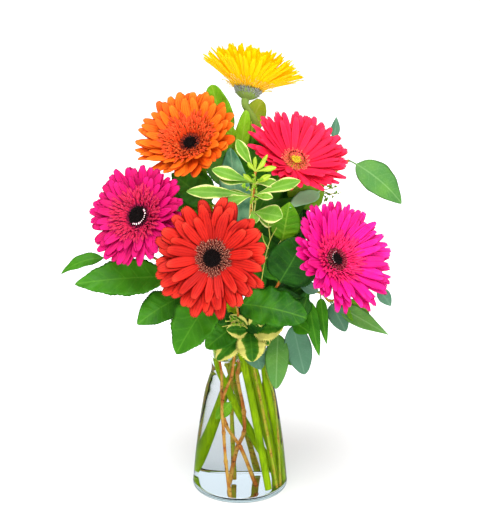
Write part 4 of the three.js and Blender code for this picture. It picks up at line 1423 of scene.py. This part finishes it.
        "way": [(-6, 1, 127), (-3, 4, 165), (-2, 3, 220), (1, -3, 262), (-4, 10, 310), (-8, 18, 333),
                (-12, 26, 352)],
        "from": 2, "shoot": [(-12, -12, 260), (-25, -24, 300)],
        "leaves": {
            "blue_green": leaf(3, (-9, -20, 354), 30, 9, 0.0, face=(0, -1, 0.2), finish="silver", full=0.6),
            "by_orange": leaf("shoot 1", (-64, -22, 330), 30, face=(0, -0.9, 0.3)),
            "top_left": leaf(6, (-27, 30, 403), 24, 3, 0.4, face=(0, -1, 0.1), finish="lime", full=0.45),
            "top_right": leaf(5, (21.5, 66, 380), 22, -3, face=(0, -1, 0.2), finish="gold", full=0.45,
                              widest=0.62),
            "top_middle": leaf(4, (6, 14, 382), 13, 1, 0.8, face=(0, -1, 0.1), finish="lime", full=0.5,
                               widest=0.62),
        },
        "more": [
            leaf("shoot 1", (-66, -10, 311), 34, 4, 0.8, face=(0, -1, 0.3)),
            leaf("shoot 1", (-52, 0, 330), 26, 3, 0.5, face=(0, -1, 0.3)),
            leaf(2, (34, 10, 262), 34, 4, 0.1), leaf(3, (40, 14, 322), 30, 4, 0.5),
            leaf(4, (32, 2, 356), 30, 3, 0.2), leaf(4, (18, 6, 357), 20, 3, 0.9),
            leaf(5, (-8, 12, 368), 16, 2, 1.0, face=(0, -1, 0.2), finish="lime"),
            leaf(4, (15, 20, 362), 20, 2, 0.5, face=(0, -1, 0.2)), leaf(3, (66, 4, 300), 30, 3, 0.1),
            leaf(2, (50, -10, 292), 26, 3, 0.2, finish="dark"),
            leaf(2, (64, 6, 246), 30, 3, 0.1, finish="dark"),
            leaf(1, (40, 4, 216), 30, 3, 0.1, finish="dark"),
            leaf(1, (-34, -4, 206), 28, 3, 0.1, face=(-0.1, -1, 0.2), finish="dark"),
        ],
    },
    "salal_back": {
        "kind": SALAL | {"bark": green_bark}, "foot": (9, 35),
        "way": [(-6, 22, 127), (-8, 24, 156), (-10, 36, 200), (-10, 44, 245), (-8, 48, 270),
                (-6, 50, 290)],
        "leaves": {
            "left": leaf(3, (-76, 60, 266), 40, 8, 0.15, face=(0, 0.8, 0.6)),
            "right": leaf(3, (64, 62, 258), 40, 8, 0.2, face=(0, 0.8, 0.6)),
            "upper_left": leaf(5, (-30, 66, 352), 36, 5, face=(-0.1, 1, 0.3)),
            "upper_right": leaf(4, (50, 62, 332), 34, 5, 0.25, face=(0.1, 1, 0.3)),
        },
    },
}
leaf_count = sum(len(twig["leaves"]) + len(twig.get("more", [])) for twig in TWIGS.values())
print(len(TWIGS), "cuttings with", leaf_count, "leaves")

# %% Twigs and their leaves
TWIG_FOOT, TWIG_TIP, SHOOT_FOOT, SHOOT_TIP = 1.7, 1.0, 1.2, 0.9
# The CAD twig is this thick, which says how high its leaning foot stands.
CAD_TWIG = 1.6
KNOB, KNOB_LENGTH = 0.55, 1.8
SPRIG_RADIUS, BUD_LENGTH, BUD_WIDTH = 0.55, 3.4, 2.1
TWIG_SIDES, SPRIG_SIDES = 10, 8
FIRST_TWIG_SEED = 40


def knobbly(route, foot_radius, tip_radius, nodes):
    """Radii that taper, wander a little and swell where a leaf or a scar is."""
    part = np.linspace(0, 1, len(route))
    radii = foot_radius + (tip_radius - foot_radius) * part
    radii = radii * (1 + 0.05 * np.sin(part * 61) + 0.04 * np.sin(part * 23 + 1))
    for node in nodes:
        gap = np.linalg.norm(route - np.array(node, float), axis=1)
        radii = radii + KNOB * np.exp(-((gap / KNOB_LENGTH) ** 2))
    return radii


def spindle(base, tip, width):
    """A closed bud from base to tip."""
    side = unit(np.cross(unit(tip - base), [0.3, 0.5, 0.8]))
    half = lambda t: width / 2 * np.sin(np.pi * (0.1 + 0.86 * t)) ** 0.8
    sheet = lambda t, s: base + (tip - base) * t[..., None] + side * (s * half(t))[..., None]
    thickness = lambda t, s: half(t) * (1 - s**2) ** 0.5
    return blade(sheet, thickness, 5, 4, {"halfwidth": width / 2, "tone": 0.8})


def grow_sprigs(name, twig, draw):
    """Thin side shoots, and a few buds that sit along their outer halves."""
    routes = [smooth_route(points, TWIG_SPACING) for points in twig["sprigs"]]
    lines = [(route, np.linspace(SPRIG_RADIUS, SPRIG_RADIUS * 0.7, len(route))) for route in routes]
    place_piece(f"{name}_sprigs", stalk(lines, young_bark, SPRIG_SIDES), "bark")
    if "buds" not in twig:
        return
    made = []
    for k in range(twig["buds"]):
        route = routes[k % len(routes)]
        spot = route[int(draw.uniform(0.45, 1.0) * (len(route) - 1))]
        way = unit(draw.normal(size=3) + [0, -0.4, 0.5])
        size = draw.uniform(0.6, 1.1)
        made.append(spindle(spot - way * 0.3, spot + way * BUD_LENGTH * size, BUD_WIDTH * size))
    place_piece(f"{name}_buds", to_mesh(made, [leaf_finishes["lime"]]), "variegated_leaf")


def make_wood(name, twig, shoot):
    way = twig["way"]
    main = smooth_route([foot_point(twig["foot"], way[0], CAD_TWIG), *way], TWIG_SPACING)
    lines = [(main, knobbly(main, TWIG_FOOT, TWIG_TIP, way))]
    if shoot:
        route = smooth_route(shoot, TWIG_SPACING)
        lines.append((route, knobbly(route, SHOOT_FOOT, SHOOT_TIP, shoot)))
    wood = stalk(lines, twig["kind"]["bark"], TWIG_SIDES)
    place_piece(f"{name}_wood", wood, "bark", [f"{name}_twig"])


def make_leaves(name, twig, shoot, draw):
    kind = twig["kind"]
    spots = dict(enumerate(twig["way"])) | {f"shoot {k}": point for k, point in enumerate(shoot[1:])}
    finishes, blades = [leaf_finishes[kind["finish"]]], []
    for own in [*twig["leaves"].values(), *twig.get("more", [])]:
        look = kind | own
        finish = leaf_finishes[look["finish"]]
        if finish not in finishes:
            finishes.append(finish)
        base = spots.get(look["where"], look["where"])
        blades.append(leaf_blade(look, base, finishes.index(finish), draw))
    replaced = [f"{name}_leaf_{leaf_name}" for leaf_name in twig["leaves"]]
    place_piece(f"{name}_leaves", to_mesh(blades, finishes), kind["finish"] + "_leaf", replaced)


for seed, (name, twig) in enumerate(TWIGS.items(), FIRST_TWIG_SEED):
    draw = np.random.default_rng(seed)
    shoot = [twig["way"][twig["from"]], *twig["shoot"]] if "shoot" in twig else []
    make_wood(name, twig, shoot)
    make_leaves(name, twig, shoot, draw)
    if "sprigs" in twig:
        grow_sprigs(name, twig, draw)

# %% [markdown]
# ## The studio
# The picture is high key: a white floor that runs on into a white surround, one large soft lamp up on the
# left, a weaker one on the right and a low one in front that no gloss mirrors. What is white stays white.
# The floor gives off a painted glow that grows with distance from the vase, so only round the foot of the
# vase is a soft grey shadow left, partly lamp shadow and partly painted shade where the glow is faint.
# Mirrored rays see a darker floor and surround, which gives the glass its thin dark rims. The view
# transform is Standard, because the flowers are pure colours that a filmic curve would wash out.

# %% Floor
FLOOR_HALF, AIR_GAP, REFLECTED = 8.0, 0.0003, 0.28
# The floor's emission is painted light: faint near the vase and full far off, leaving painted shade round the
# foot.
PAINTED_GLOW_FROM, PAINTED_GLOW_FULL, PAINTED_GLOW = 0.06, 0.6, 0.6

floor_mesh = bpy.data.meshes.new("floor")
corners = [(x * FLOOR_HALF, y * FLOOR_HALF, -AIR_GAP) for x, y in ((-1, -1), (1, -1), (1, 1), (-1, 1))]
floor_mesh.from_pydata(corners, [], [(0, 1, 2, 3)])
floor = bpy.data.objects.new("floor", floor_mesh)
white, bench = new_finish("floor_white")
far = bench.node("ShaderNodeVectorMath", {"operation": "LENGTH"}, {0: bench.place()}, out="Value")
colour = bench.mix(bench.noise(3.0) * 0.1, (0.80, 0.80, 0.80), (0.77, 0.77, 0.78))
colour = bench.mix(bench.mirrored(), colour, (REFLECTED, REFLECTED, REFLECTED))
# Painted glow that grows with distance from the vase, so the floor near the foot stays greyer.
painted_glow_share = bench.ease(far, PAINTED_GLOW_FROM, PAINTED_GLOW_FULL) * (1 - bench.mirrored())
glow = bench.mix(painted_glow_share, (0.0, 0.0, 0.0), (PAINTED_GLOW, PAINTED_GLOW, PAINTED_GLOW))
sockets = {"Base Color": colour, "Roughness": 0.9, "Emission Color": glow, "Emission Strength": 1.0}
bench.finish(bench.node("ShaderNodeBsdfPrincipled", None, sockets))
floor_mesh.materials.append(white)
scene.collection.objects.link(floor)
print("the floor is", 2 * FLOOR_HALF, "m wide")

# %% Lamps and surround
LAMPS_AIM = Vector((0, 0, 0.25))
SURROUND, SEEN_SURROUND = 0.82, 1.1


def soft_lamp(name, place, size, power, seen=True):
    """A round lamp that looks at the middle of the bunch. seen says whether a gloss mirrors it."""
    lamp = bpy.data.lights.new(name, "AREA")
    lamp.shape, lamp.size, lamp.energy = "DISK", size, power
    stand = bpy.data.objects.new(name, lamp)
    stand.location = place
    stand.rotation_euler = (LAMPS_AIM - Vector(place)).to_track_quat("-Z", "Y").to_euler()
    stand.visible_glossy = seen
    stand.visible_transmission = False
    scene.collection.objects.link(stand)


soft_lamp("key_lamp", (-0.2, -1.0, 2.3), size=2.0, power=70)
soft_lamp("fill_lamp", (1.2, -1.6, 1.1), size=1.4, power=14)
soft_lamp("low_lamp", (0.1, -1.5, 0.16), size=0.9, power=12, seen=False)

world = bpy.data.worlds.new("white_surround")
world.use_nodes = True
bench = Bench(world.node_tree)
background = world.node_tree.nodes["Background"]
background.inputs["Color"].default_value = (1, 1, 1, 1)
seen = bench.node("ShaderNodeLightPath", out="Is Camera Ray")
seen = bench.maths("MAXIMUM", seen, seen.other("Is Transmission Ray"))
lit = SURROUND + seen * (SEEN_SURROUND - SURROUND)
bench.plug(background.inputs["Strength"], lit - bench.mirrored() * (lit - REFLECTED))
scene.world = world
scene.view_settings.view_transform = "Standard"
print("studio is lit")
